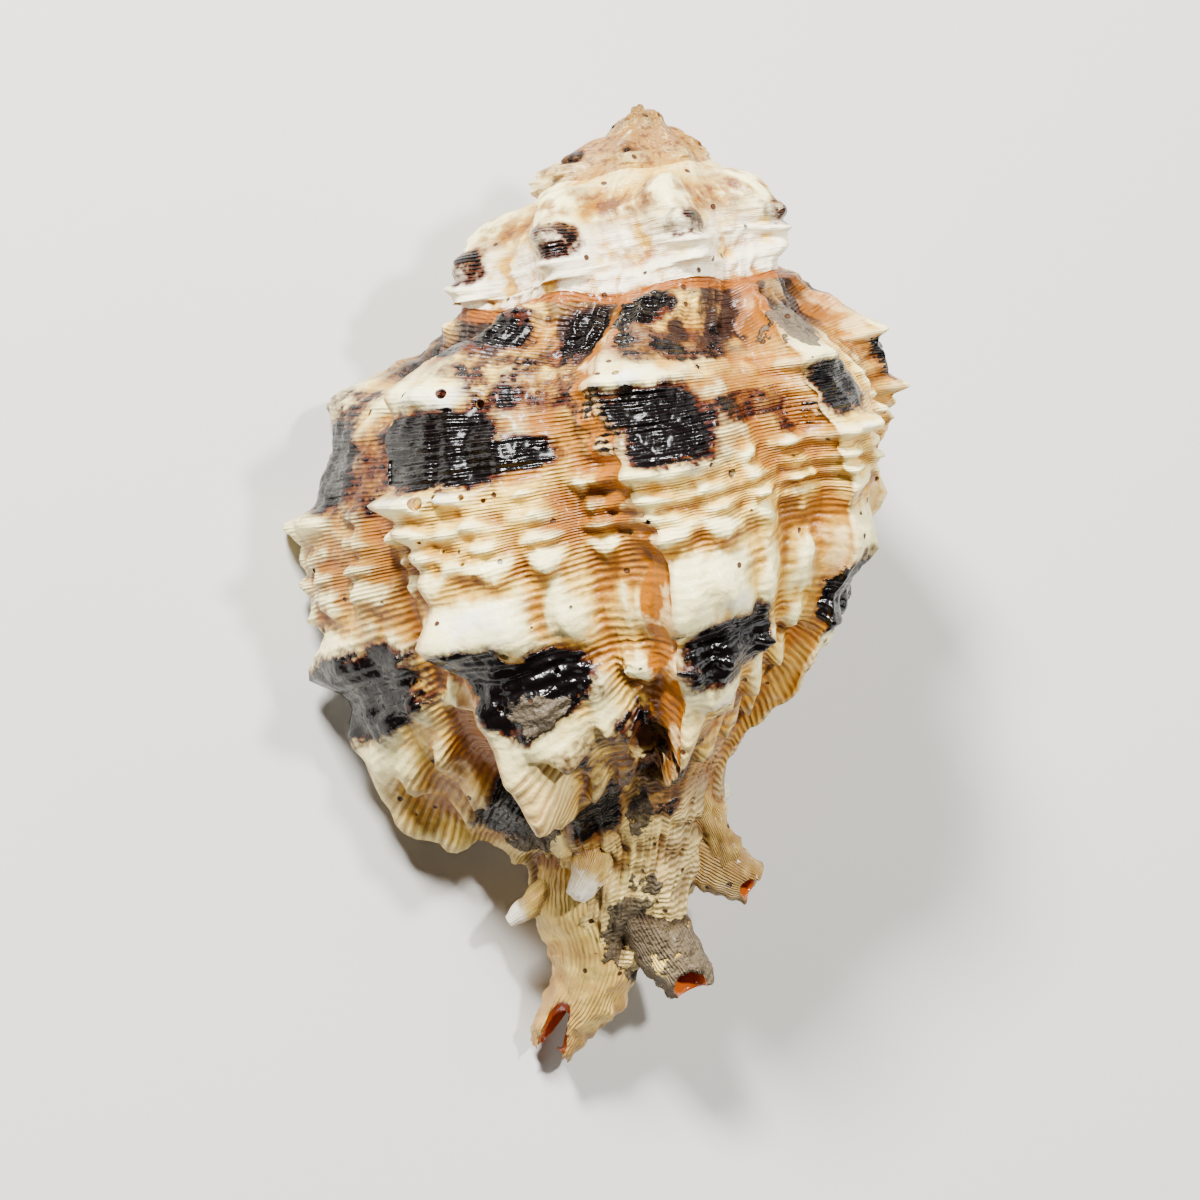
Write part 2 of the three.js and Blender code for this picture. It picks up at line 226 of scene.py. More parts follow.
# %% A smooth curve through one measure
def along_lines(tree, line, measures):
    """A smooth curve through one measure of the spiral lines, read at a line."""
    least = min(measures)
    span = max(measures) - least
    place = formulas(tree, "place = line / last", line=line, last=float(LAST_LINE))["place"]
    node = add_node(tree, "ShaderNodeFloatCurve", {"Value": place})
    curve = node.mapping.curves[0]
    while len(curve.points) < len(measures):
        curve.points.new(0.5, 0.5)
    for i, (point, measure) in enumerate(zip(curve.points, measures)):
        point.location = (i / LAST_LINE, (measure - least) / span)
    node.mapping.update()
    text = "value = share * span + least"
    return formulas(tree, text, share=node.outputs[0], span=span, least=float(least))["value"]


# %% The profile of a whorl
PROFILE = """
onWhorl = ease(line, 0, 1.5) * ease(line, 6, 4.5)
sag = 3.4 * bell(turn, -0.6, 0.36) * ease(line, 3.6, 1.6)
sagBelow = 3.4 * bell(turn, -1.6, 0.36) * bell(line, 6, 0.8)
lift = 0.148 * min(0, turn + 1.05)
radius = lipRadius * exp(widens * turn)
drop = lipDrop * exp(descends * turn + onWhorl * lift) + sag + sagBelow
"""


def profile(tree, turn, line):
    """How far a spiral line stands from the axis, and how far below the tip, at a turn."""
    return formulas(
        tree, PROFILE, turn=turn, line=line,
        lipRadius=along_lines(tree, line, RADIUS),
        lipDrop=along_lines(tree, line, DROP),
        widens=along_lines(tree, line, [math.log(rate) for rate in WIDENS]),
        descends=along_lines(tree, line, [math.log(rate) for rate in DESCENDS]),
    )


# %% The growth law as a node group
SPOT = """
down = low - high
wide = wideLow - wideHigh
length = (down * down + wide * wide) ** 0.5 + 0.0001
outRadius = radius + raised * cos(tilt) + outward * down / length
outDrop = drop + raised * sin(tilt) - outward * wide / length
lean = 7 * bell(line, 1.9, 1.5) - 13 * ease(line, 3.6, 8.4) + ahead
angle = (lipAngle + 360 * turn + lean) * degree
x = 0 - outRadius * sin(angle) - 0.1 * max(0, outDrop - 84) ** 1.25
z = outRadius * cos(angle)
y = 0 - outDrop + 0.13 * z * ease(outDrop, 26, 16)
"""


def growth_law():
    inputs = [(name, "Float", 0.0) for name in ("Turn", "Line", "Raised", "Outward", "Ahead")]
    tree, given = start_tree("growth law", inputs, "Position", "Vector")
    turn, line = given["Turn"], given["Line"]
    here = profile(tree, turn, line)
    above = profile(tree, turn, formulas(tree, "line = max(0, line - 0.06)", line=line)["line"])
    below = profile(tree, turn, formulas(tree, "line = min(12.9, line + 0.06)", line=line)["line"])
    placed = formulas(
        tree, SPOT, turn=turn, line=line, raised=given["Raised"], outward=given["Outward"],
        ahead=given["Ahead"], lipAngle=float(LIP_ANGLE), degree=math.radians(1),
        radius=here["radius"], drop=here["drop"],
        high=above["drop"], wideHigh=above["radius"], low=below["drop"], wideLow=below["radius"],
        tilt=along_lines(tree, line, [math.radians(angle) for angle in POINTS_DOWN]),
    )
    spot = add_node(tree, "ShaderNodeCombineXYZ", {axis.upper(): placed[axis] for axis in "xyz"})
    add_node(tree, "NodeGroupOutput", {"Position": spot.outputs[0]})
    return tree


GROWTH_LAW = growth_law()
print("the growth law has", len(GROWTH_LAW.nodes), "nodes")

# %% [markdown]
# ## The outside of the whorls
# The outside is one long ribbon: a grid with a column for every step back along the coil and a row for every
# step down the profile. Its relief could be a displacement texture, but varices and knobs obey the growth law
# too: they come every 47 degrees or so, and each older one is smaller. So they are formulas of the turn and
# the line, and noise adds lumps, grains, rings and folds. Each whorl is then drawn onto the suture of the
# whorl that covers it, so that no gap is left between them.

# %% Columns and rows of the ribbon
COLUMNS = 400
ROWS_TO_SUTURE = 80
ROWS = 150
GRID_PLACE = """
column = floor((index + 0.5) / rows)
row = index - column * rows
turn = 0 - column / inWhorl
line = min(row, toSuture) * 6 / toSuture + max(0, row - toSuture) * 6.9 / (rows - 1 - toSuture)
covered = above(column, inWhorl + 0.5) * above(row, toSuture + 0.5)
"""
print("the ribbon has", COLUMNS, "columns in a whorl and", ROWS, "rows")

# %% Varices
# A varix stands highest at its old edge and dies away behind it. In front of that edge the inner face of the
# old lip slopes down to the younger shell. Whorls older than the last have plain rounded ribs.
VARIX_SPACING = 47.3  # degrees
VARICES_IN_A_WHORL = 360 / VARIX_SPACING
VARIX_HEIGHT = 3.3
VARIX_RELIEF = """
phase = 0.000001 - turn * varices
number = floor(phase)
behind = phase - number
old = ease(turn, -0.95, -1.12)
size = exp(grows * turn)
scallop = abs(cos(line * 5.05 - 2.3))
faceWidth = 0.125 + 0.05 * scallop + 0.12 * (lumps - 0.5)
face = max(0, (behind - 1 + faceWidth) / faceWidth) ** 1.4
edge = number + above(behind, 0.72)
wave = 0.5 + 0.5 * cos(6.28318 * behind - 0.2)
youngRidge = max(ease(behind, 0.62, 0.16), face) - 0.3 * bell(behind, 0.7, 0.1)
ridge = youngRidge + old * (2.3 * wave * wave - 0.7 - youngRidge)
rib = 0.3 * bell(behind, 0.5, 0.1) * (1 - old)
"""
print(round(VARICES_IN_A_WHORL, 2), "varices in a whorl")

# %% Knobs and spines
# Knobs sit where a varix crosses certain lines, and the base of each varix carries one long spine.
KNOB_RELIEF = """
youngCrest = max(ease(behind, 0.5, 0.14), face * 0.9)
crest = youngCrest + old * (wave * wave - youngCrest)
spine = 3.4 + 1.8 * bell(edge, 0, 0.3) + 4 * bell(edge, 1, 0.3) + 1.5 * bell(edge, 2, 0.3)
spineWidth = bell(line, 8.2, 0.26) + 0.3 * bell(line, 8.75, 0.2)
spines = spine * spineWidth * max(bell(behind, 0.03, 0.09), face * 0.9) * (1 - old)
shoulderKnobs = 3.2 * bell(line, 2.15, 0.36) + 2.2 * bell(line, 4.2, 0.3) + bell(line, 5, 0.28)
baseKnobs = bell(line, 5.75, 0.26) + 1.8 * bell(line, 6.6, 0.24) + 2 * bell(line, 7.65, 0.24)
spireKnobs = 2.4 * bell(line, 3.3, 0.4) + 2.2 * bell(line, 4.4, 0.25) + 1.8 * bell(line, 5.2, 0.22)
youngKnobs = spines + crest * (shoulderKnobs + 1.25 * baseKnobs) * (0.4 + 1.2 * lumps)
knobs = youngKnobs + old * (crest * spireKnobs - youngKnobs)
"""

# %% The step under the whorl above
# A whorl is laid over the knobs of the one before it, so its upper edge takes over their height.
TAKEN_RELIEF = """
own = ease(line, 0.5, 1.9) * ease(line, 10.2, 8.4)
phaseUp = phase + varices
behindUp = phaseUp - floor(phaseUp)
sizeUp = exp(grows * turn - grows)
ridgeUp = 0.85 + 1.15 * 0.5 * cos(6.28318 * behindUp - 0.2)
taken = ease(line, 1.4, 0) * height * sizeUp * ridgeUp
"""

# %% Lobes on the ramp, cords and pillows
PILLOW_RELIEF = """
ramp = ease(line, 0, 0.5) * ease(line, 2.1, 1.2)
lobes = ramp * (2.4 * crest + 1.5 * (folds - 0.5) - 0.5) * (0.5 + 0.5 * ease(turn, -1.1, -0.9))
cords = 0.1 * cos(line * 13.66 + 1.2) * ease(line, 10.5, 9) * ease(line, 0, 0.4)
pillowRows = (0.5 + 0.5 * cos(line * 10.1 - 4.6 + 2 * (lumps - 0.5))) ** 1.15
pillowColumns = 0.5 + 0.5 * cos(25.13 * behind - 1.2 + 5 * (lumps - 0.5))
pillows = pillowRows * pillowColumns * (0.2 + 1.6 * grains)
onPillows = ease(line, 3.7, 4.2) * ease(line, 9.2, 8.5) * (1 - 0.5 * old)
pillowed = (1.45 + ease(line, 7, 7.6)) * pillows * onPillows
"""

# %% Folds of the neck, wear and hollows
WORN_RELIEF = """
neckFolds = (6 * (lumps - 0.5) + 1.4 * (folds - 0.5)) * ease(line, 8.9, 9.6) * ease(line, 12.8, 12)
worn = 1.9 * (lumps - 0.5) + 2.1 * (grains - 0.5) + 1.3 * (rings - 0.5) * ease(line, 12.5, 10)
fallen = 2.6 * bell(phase, 0.5, 0.5) * bell(line, 1.2, 0.8)
fallenBase = 3.2 * bell(phase, 3.7, 0.9) * bell(line, 8, 1)
sculpted = height * (ridge + rib) + knobs
relief = own * size * sculpted + size * (cords + lobes + pillowed + wear * worn)
raised = taken + relief + neckFolds - fallen - fallenBase
"""

# %% The ragged edges of the old lips
EDGES = """
hasEdge = ease(line, 0, 1) * ease(line, 10, 8)
nearEdge = bell(behind, 0, 0.05) + bell(behind, 1, 0.05)
ragged = nearEdge * (1.3 * (scallop - 0.55) + 5 * (lumps - 0.5))
frill = (1 - old) * 1.2 * bell(behind, 0, 0.04) + (1 - 0.8 * old) * ragged
ahead = hasEdge * frill + bell(line, 8.3, 0.8) * (5 * bell(edge, 0, 0.3) - 8.5 * bell(edge, 1, 0.3))
"""
SCULPTURE = VARIX_RELIEF + KNOB_RELIEF + TAKEN_RELIEF + PILLOW_RELIEF + WORN_RELIEF + EDGES


# %% Noise for the relief
def relief_noises(tree, plain, turn, line, seed):
    """Lumps and grains that lie in space, and rings and folds that lie along the coil."""
    shifted = add_node(tree, "ShaderNodeVectorMath", {0: plain, 1: seed}, operation="ADD")
    text = "a = 0 - 15 * varices * turn\nb = line * 0.7"
    along = formulas(tree, text, turn=turn, line=line, varices=VARICES_IN_A_WHORL)
    coil = add_node(tree, "ShaderNodeCombineXYZ", {"X": along["a"], "Y": along["b"], "Z": seed})
    return {
        name: add_node(
            tree, "ShaderNodeTexNoise", {"Vector": vector.outputs[0], "Scale": scale, "Detail": 2.0}
        ).outputs[0]
        for name, vector, scale in (
            ("lumps", shifted, 0.13), ("grains", shifted, 0.42), ("rings", coil, 1.0), ("folds", coil, 0.42)
        )
    }


# %% Marks on the points, and the growth map
def add_marks(tree, geometry, marks):
    """Keeps fields on the points, and the turn and the line as a map named growth on the corners."""
    for name, value in marks.items():
        geometry = add_node(
            tree, "GeometryNodeStoreNamedAttribute", {"Geometry": geometry, "Name": name, "Value": value},
            data_type="FLOAT", domain="POINT",
        ).outputs[0]
    kept = {
        name: add_node(tree, "GeometryNodeInputNamedAttribute", {"Name": name}, data_type="FLOAT").outputs[0]
        for name in marks
    }
    growth = add_node(tree, "ShaderNodeCombineXYZ", {"X": kept["turn"], "Y": kept["line"]})
    mapped = add_node(
        tree, "GeometryNodeStoreNamedAttribute",
        {"Geometry": geometry, "Name": "growth", "Value": growth.outputs[0]},
        data_type="FLOAT2", domain="CORNER",
    )
    return mapped.outputs[0], kept


# %% Draw each whorl onto the suture
SUTURE = """
younger = (column - inWhorl) * rows
ownEnd = column * rows + toSuture
pull = ease(line, 4.8, 6) * ease(line, 8, 6) * above(column, inWhorl - 0.5)
"""


def draw_onto_suture(tree, shaped, sizes, marks):
    """Moves the lower rows of an older whorl by the gap between its end and the suture that covers it."""
    partners = formulas(tree, SUTURE, **sizes, **marks)
    position = add_node(tree, "GeometryNodeInputPosition").outputs[0]
    ends = [
        add_node(
            tree, "GeometryNodeSampleIndex",
            {"Geometry": shaped, "Value": position, "Index": partners[name]},
            data_type="FLOAT_VECTOR", domain="POINT",
        ).outputs[0]
        for name in ("younger", "ownEnd")
    ]
    gap = add_node(tree, "ShaderNodeVectorMath", {0: ends[0], 1: ends[1]}, operation="SUBTRACT")
    move = add_node(
        tree, "ShaderNodeVectorMath", {0: gap.outputs[0], "Scale": partners["pull"]}, operation="SCALE"
    )
    drawn = add_node(tree, "GeometryNodeSetPosition", {"Geometry": shaped, "Offset": move.outputs[0]})
    return drawn.outputs[0]


# %% The tree that grows the whorls
WHORL_INPUTS = [
    ("Columns in a whorl", "Int", COLUMNS), ("Rows to the suture", "Int", ROWS_TO_SUTURE),
    ("Rows", "Int", ROWS), ("Whorls", "Float", WHORLS), ("Varix height", "Float", VARIX_HEIGHT),
    ("Wear", "Float", 1.0), ("Seed", "Float", 0.0),
]


def whorl_tree():
    tree, given = start_tree("grow whorls", WHORL_INPUTS)
    sizes = {
        "rows": given["Rows"], "inWhorl": given["Columns in a whorl"], "toSuture": given["Rows to the suture"]
    }
    text = "columns = floor(inWhorl * whorls) + 1"
    columns = formulas(tree, text, inWhorl=sizes["inWhorl"], whorls=given["Whorls"])["columns"]
    grid = add_node(tree, "GeometryNodeMeshGrid", {"Vertices X": columns, "Vertices Y": given["Rows"]})
    index = add_node(tree, "GeometryNodeInputIndex").outputs[0]
    place = formulas(tree, GRID_PLACE, index=index, **sizes)
    turn, line = place["turn"], place["line"]
    plain = add_node(tree, "GeometryNodeGroup", node_tree=GROWTH_LAW)
    grown = add_node(tree, "GeometryNodeGroup", node_tree=GROWTH_LAW)
    for law in (plain, grown):
        tree.links.new(turn, law.inputs["Turn"])
        tree.links.new(line, law.inputs["Line"])
    sculpture = formulas(
        tree, SCULPTURE, turn=turn, line=line, height=given["Varix height"], wear=given["Wear"],
        varices=VARICES_IN_A_WHORL, grows=math.log(GROWTH_IN_A_WHORL),
        **relief_noises(tree, plain.outputs[0], turn, line, given["Seed"]),
    )
    tree.links.new(sculpture["raised"], grown.inputs["Raised"])
    tree.links.new(sculpture["ahead"], grown.inputs["Ahead"])

    marks = {name: place[name] for name in ("turn", "line", "column", "row", "covered")}
    marked, kept = add_marks(tree, grid.outputs["Mesh"], marks)
    shaped = add_node(tree, "GeometryNodeSetPosition", {"Geometry": marked, "Position": grown.outputs[0]})
    drawn = draw_onto_suture(tree, shaped.outputs[0], sizes, kept)
    bare = add_node(tree, "GeometryNodeDeleteGeometry", {"Geometry": drawn, "Selection": kept["covered"]})
    return end_tree(tree, bare.outputs[0], MATERIALS["oiled_shell"])


# %% Grow the whorls
def run_tree(tree, name, source=None, **values):
    """Runs a Geometry Nodes tree on a new object, or on a curve, and keeps the result as a plain mesh."""
    carrier = bpy.data.objects.new(name, source or bpy.data.meshes.new(name))
    bpy.context.scene.collection.objects.link(carrier)
    modifier = carrier.modifiers.new("grow", "NODES")
    modifier.node_group = tree
    for socket in tree.interface.items_tree:
        if socket.in_out == "INPUT" and socket.name in values:
            modifier[socket.identifier] = values[socket.name]
    evaluated = carrier.evaluated_get(bpy.context.evaluated_depsgraph_get())
    mesh = bpy.data.meshes.new_from_object(evaluated)
    bpy.data.objects.remove(carrier)
    mesh.name = name
    return mesh


whorls = run_tree(whorl_tree(), "whorls")
print("the ribbon has", len(whorls.vertices), "points and", len(whorls.polygons), "faces")

# %% [markdown]
# ## Closing the ribbon
# Cutting a mouth out of the shell needs a closed solid. The ribbon is still open in three places: at the
# first tiny whorl, at the end of the neck, and from the lip's edge down to the older whorl. Filling the
# holes blindly would bridge the wrong edges. So a fan of faces closes the first two, and one flat face,
# worked out from the profile, closes the step at the lip. Then the doubled points along each suture are
# merged.

# %% Keep a closed mesh, and say so
def keep_closed(shape, mesh):
    """Turns the faces outwards, writes the shape to the mesh, and prints whether it is closed."""
    bmesh.ops.triangulate(shape, faces=shape.faces)
    bmesh.ops.recalc_face_normals(shape, faces=shape.faces)
    if shape.calc_volume(signed=True) < 0:
        bmesh.ops.reverse_faces(shape, faces=shape.faces)
    open_edges = sum(not edge.is_manifold for edge in shape.edges)
    volume = shape.calc_volume(signed=True)
    shape.to_mesh(mesh)
    shape.free()
    print(mesh.name, "has", len(mesh.polygons), "faces,", open_edges, "open edges,", round(volume), "mm3")


# %% Close the ribbon into a solid
SUTURE_GAP = 0.002  # mm between points that are merged along a suture


def close_ribbon(mesh):
    marks = {}
    for name in ("column", "row", "line", "turn"):
        values = np.zeros(len(mesh.vertices))
        mesh.attributes[name].data.foreach_get("value", values)
        marks[name] = values
    last = int(marks["column"].max())
    shape = bmesh.new()
    shape.from_mesh(mesh)
    shape.verts.ensure_lookup_table()
    at = {(int(c), int(r)): shape.verts[i] for i, (c, r) in enumerate(zip(marks["column"], marks["row"]))}
    growth = shape.loops.layers.uv["growth"]
    lines = shape.verts.layers.float["line"]
    turns = shape.verts.layers.float["turn"]

    def fill(corners):
        face = shape.faces.new(corners)
        for loop in face.loops:
            loop[growth].uv = (loop.vert[turns], loop.vert[lines])

    spire_tip = shape.verts.new((0, -0.3, 0))
    neck_tip = shape.verts.new((-3.5, -101, 0))
    for tip, turn, line in ((spire_tip, -WHORLS, 0), (neck_tip, 0, LAST_LINE)):
        tip[turns], tip[lines] = turn, line
    rim = [at[column, 0] for column in range(last - COLUMNS, last + 1)]
    rim += [at[last, row] for row in range(1, ROWS_TO_SUTURE + 1)]
    for one, two in zip(rim, rim[1:]):
        fill((one, two, spire_tip))
    for column in range(COLUMNS):
        fill((at[column, ROWS - 1], neck_tip, at[column + 1, ROWS - 1]))
    step = [at[0, row] for row in range(ROWS)] + [neck_tip]
    step += [at[COLUMNS, row] for row in range(ROWS - 1, ROWS_TO_SUTURE, -1)]
    flat = [Vector((math.hypot(v.co.x, v.co.z), -v.co.y, 0)) for v in step]
    for corners in tessellate_polygon([flat]):
        fill([step[i] for i in corners])
    bmesh.ops.remove_doubles(shape, verts=shape.verts, dist=SUTURE_GAP)
    bmesh.ops.recalc_face_normals(shape, faces=shape.faces)
    keep_closed(shape, mesh)


close_ribbon(whorls)

# %% [markdown]
# ## The space inside
# The animal lived in the last whorl, between its wall and the whorl before. A Solidify modifier would give
# the wall a thickness, but it would follow every knob and choke the mouth, and the real inside is smooth.
# So the space is a tube of its own whose section is a ring: down the inside of the wall, and back up over
# the older whorl. A grid is rolled into this tube by the same growth law, set in from the outside by the
# wall's thickness. The floor of the mouth is laid over the older whorl as a thin callus.

# %% The section of the living space
WALL = 2.9
CALLUS = 0.9
LIVING_SPACE_TURNS = 0.8
SECTION = """
step = floor((index + 0.5) / around)
share = (index - step * around) / (around - 1)
turn = 0.07 - step / (steps - 1) * (turns + 0.07)
size = exp(grows * min(0, turn))
outerLine = 0.9 + 9 * min(share / 0.6, 1) * below(share, 0.8)
innerLine = 10.6 - 4.3 * min(1, max(0, (share - 0.65) / 0.3))
inner = min(1, max(0, (share - 0.6) / 0.05)) * (1 - min(1, max(0, (share - 0.95) / 0.05)))
older = turn - 1
phase = 0 - turn * varices
fallen = 2.6 * bell(phase, 0.5, 0.5) * bell(outerLine, 1.2, 0.8)
fallenBase = 3.2 * bell(phase, 3.7, 0.9) * bell(outerLine, 8, 1)
inset = 0 - wall * size - fallen - fallenBase
raised = callus * size
"""
print("the hollow reaches", round(360 * LIVING_SPACE_TURNS), "degrees back from the lip")


# %% The tree that makes the living space
SPACE_INPUTS = [
    ("Steps", "Int", 80), ("Points round", "Int", 61), ("Turns", "Float", LIVING_SPACE_TURNS),
    ("Wall", "Float", WALL), ("Callus", "Float", CALLUS),
]
POINTS_MERGED = 0.001  # mm, where the section's two ends meet


def living_space_tree():
    tree, given = start_tree("hollow the last whorl", SPACE_INPUTS)
    counts = {"Vertices X": given["Steps"], "Vertices Y": given["Points round"]}
    grid = add_node(tree, "GeometryNodeMeshGrid", counts)
    place = formulas(
        tree, SECTION, index=add_node(tree, "GeometryNodeInputIndex").outputs[0],
        around=given["Points round"], steps=given["Steps"], turns=given["Turns"],
        wall=given["Wall"], callus=given["Callus"],
        varices=VARICES_IN_A_WHORL, grows=math.log(GROWTH_IN_A_WHORL),
    )
    sides = []
    for turn, line, outward in (("turn", "outerLine", "inset"), ("older", "innerLine", "raised")):
        side = add_node(tree, "GeometryNodeGroup", node_tree=GROWTH_LAW)
        for name, value in (("Turn", turn), ("Line", line), ("Outward", outward)):
            tree.links.new(place[value], side.inputs[name])
        sides.append(side.outputs[0])
    ends = {"Factor": place["inner"], 4: sides[0], 5: sides[1]}
    between = add_node(tree, "ShaderNodeMix", ends, data_type="VECTOR").outputs[1]
    placing = {"Geometry": grid.outputs["Mesh"], "Position": between}
    shaped = add_node(tree, "GeometryNodeSetPosition", placing)
    merged = {"Geometry": shaped.outputs[0], "Distance": POINTS_MERGED}
    closed = add_node(tree, "GeometryNodeMergeByDistance", merged)
    return end_tree(tree, closed.outputs[0], MATERIALS["mouth_porcelain"])


def close_holes(mesh):
    shape = bmesh.new()
    shape.from_mesh(mesh)
    bmesh.ops.holes_fill(shape, edges=shape.edges, sides=0)
    keep_closed(shape, mesh)


living_space = run_tree(living_space_tree(), "living space")
close_holes(living_space)

# %% [markdown]
# ## Canals and spines of the neck
# The neck ends in the open siphonal canal, with the ends of older canals and a few spines left beside it.
# Metaballs or a Skin modifier would blend them too softly, and their widths would be hard to set. So each
# is a tube on a short path whose radius changes along it. A curve carries the stops, and a small tree
# sweeps a circle along it and wrinkles the skin with lumps and rings of growth.

# %% Wrinkles of a tube
TUBE_HEIGHT = "height = wrinkles * (1.6 * (lumps - 0.5) + 0.25 * (rings - 0.5))"


def wrinkle(tree, swept, wrinkles, seed):
    """Pushes the skin of a tube out and in by noise and by growth rings."""
    position = add_node(tree, "GeometryNodeInputPosition").outputs[0]
    shifted = add_node(tree, "ShaderNodeVectorMath", {0: position, 1: seed}, operation="ADD").outputs[0]
    lumps = add_node(tree, "ShaderNodeTexNoise", {"Vector": shifted, "Scale": 0.35, "Detail": 3.0})
    rings = add_node(tree, "ShaderNodeTexWave", {"Vector": shifted, "Scale": 0.2, "Distortion": 6.0})
    known = {"wrinkles": wrinkles, "lumps": lumps.outputs[0], "rings": rings.outputs[1]}
    height = formulas(tree, TUBE_HEIGHT, **known)["height"]
    normal = add_node(tree, "GeometryNodeInputNormal").outputs[0]
    push = add_node(tree, "ShaderNodeVectorMath", {0: normal, "Scale": height}, operation="SCALE")
    wrinkled = add_node(tree, "GeometryNodeSetPosition", {"Geometry": swept, "Offset": push.outputs[0]})
    return wrinkled.outputs[0]


# %% The tree that makes a tube
TUBE_INPUTS = [
    ("Geometry", "Geometry", None), ("Sides", "Int", 40), ("Step", "Float", 0.45),
    ("Wrinkles", "Float", 0.9), ("Seed", "Float", 0.0), ("Finish", "Material", MATERIALS["oiled_shell"]),
]
TUBE_PLACE = """
point = floor((index + 0.5) / sides)
side = index - point * sides
turn = 0 - point * step / girth
line = 14 + abs(side / sides - 0.5) * 5
"""


def tube_tree():
    tree, given = start_tree("tube on a path", TUBE_INPUTS)
    stops = {"Curve": given["Geometry"], "Length": given["Step"]}
    path = add_node(tree, "GeometryNodeResampleCurve", stops, mode="LENGTH").outputs[0]
    circle = add_node(tree, "GeometryNodeCurvePrimitiveCircle", {"Resolution": given["Sides"], "Radius": 1.0})
    width = add_node(tree, "GeometryNodeInputRadius").outputs[0]
    ring = {"Profile Curve": circle.outputs[0], "Fill Caps": True, "Scale": width}
    swept = add_node(tree, "GeometryNodeCurveToMesh", {"Curve": path, **ring}).outputs[0]
    rough = wrinkle(tree, swept, given["Wrinkles"], given["Seed"])
    place = formulas(
        tree, TUBE_PLACE, index=add_node(tree, "GeometryNodeInputIndex").outputs[0],
        sides=given["Sides"], step=given["Step"], girth=float(LIP_GIRTH),
    )
    marked, _ = add_marks(tree, rough, {"turn": place["turn"], "line": place["line"]})
    return end_tree(tree, marked, given["Finish"])


# %% A tube through stops
TUBE_TREE = tube_tree()


def tube(name, stops, wrinkles=0.9, seed=0.0, sides=40, finish="oiled_shell"):
    """A closed tube through stops of (x, y, z, radius), in millimetres."""
    path = bpy.data.curves.new(name, "CURVE")
    path.dimensions = "3D"
    spline = path.splines.new("BEZIER")
    spline.bezier_points.add(len(stops) - 1)
    for point, (x, y, z, radius) in zip(spline.bezier_points, stops):
        point.co = (x, y, z)
        point.radius = radius
        point.handle_left_type = point.handle_right_type = "AUTO"
    values = {"Wrinkles": wrinkles, "Seed": seed, "Sides": sides, "Finish": MATERIALS[finish]}
    mesh = run_tree(TUBE_TREE, name, source=path, **values)
    close_holes(mesh)
    return mesh


# %% The paths of the neck, as stops of x, y, z and radius
CANAL = [
    (-5.6, -84, 0.5, 6.0), (-6.6, -92, 0.5, 5.9), (-5.4, -98, 0.3, 5.4),
    (-6.8, -102.8, 0, 4.6), (-8.9, -106, -0.3, 3.5), (-10.6, -109.6, -0.8, 2.6),
]
OLD_CANALS = [
    [(-1, -90, 3, 4), (2, -96, 3.6, 3.9), (4.6, -99.6, 4, 3.3), (5.6, -101.8, 4, 2.7)],
    [(3.4, -84.5, 2, 3.9), (8.4, -87.4, 2.2, 3.4), (12.8, -89.8, 2.4, 2.6)],
]
NECK_SPINES = [
    [(4, -79.6, 2.5, 3.2), (7.6, -79, 2.8, 2), (10, -78.8, 3, 0.7)],
    [(-4.6, -83.2, 5.4, 2.6), (-6.2, -87.6, 8.6, 2.2), (-7.8, -90.2, 9.6, 1.3)],
    [(-8.4, -88.6, 2.2, 2.4), (-12.2, -91.6, 2.8, 1.7), (-15.4, -94, 3, 0.8)],
]
OPEN_ENDS = [
    [(-9.2, -103.6, 4.6, 0.7), (-9.5, -105.4, 2.6, 1.5), (-10, -107.8, 1.2, 1.9), (-11.2, -112.4, 0, 1.9)],
    [(4.4, -98.4, 4, 1.4), (5.2, -100.6, 6, 1.9), (6.2, -102.8, 8.6, 2.2)],
    [(10.6, -88.9, 2.6, 0.9), (12.4, -90, 4.6, 1.3), (13.4, -90.8, 6.8, 1.5)],
]
NECK_RIDGES = [
    [(-2.6, -74, 8.4, 2.2), (0.6, -82.8, 7.4, 2.3), (1.4, -89, 5.6, 1.8)],
    [(4.2, -75, 6, 2.3), (7.2, -81, 5, 2.1), (9.4, -86.2, 3.4, 2.1)],
    [(-7.6, -76, 8, 2.4), (-6.4, -81, 7, 2.0), (-6.6, -86, 5.4, 1.7)],
]
CANAL_BORE = 2.1

# %% Make the tubes of the neck
def beyond(stops, length):
    """The last two stops, carried on past the end, so that a bore comes out there."""
    one, two = Vector(stops[-2]), Vector(stops[-1])
    ahead = (two.xyz - one.xyz).normalized() * length
    return list(stops) + [(*(two.xyz + ahead), two.w)]


added = [tube("canal", CANAL, wrinkles=1.3, seed=3.0)]
added += [tube(f"neck ridge {i}", path, wrinkles=1.5, seed=11.0 + i) for i, path in enumerate(NECK_RIDGES)]
added += [tube(f"old canal {i}", path, seed=7.0 + i) for i, path in enumerate(OLD_CANALS)]
added += [tube(f"neck spine {i}", path, wrinkles=0.6, seed=20.0 + i) for i, path in enumerate(NECK_SPINES)]
print(len(added), "tubes for the neck")

# %% [markdown]
# ## Joining and cutting
# The tubes are joined to the whorls, and the living space, the canal's bore and slit and the open ends of the
# old canals are cut out. A voxel remesh would join them too, but it would blur the threads and thin edges.
# Exact set operations on closed solids keep them, and leave no stray faces. Each solid brings its own finish,
# so the walls of the mouth come out with the inside finish.

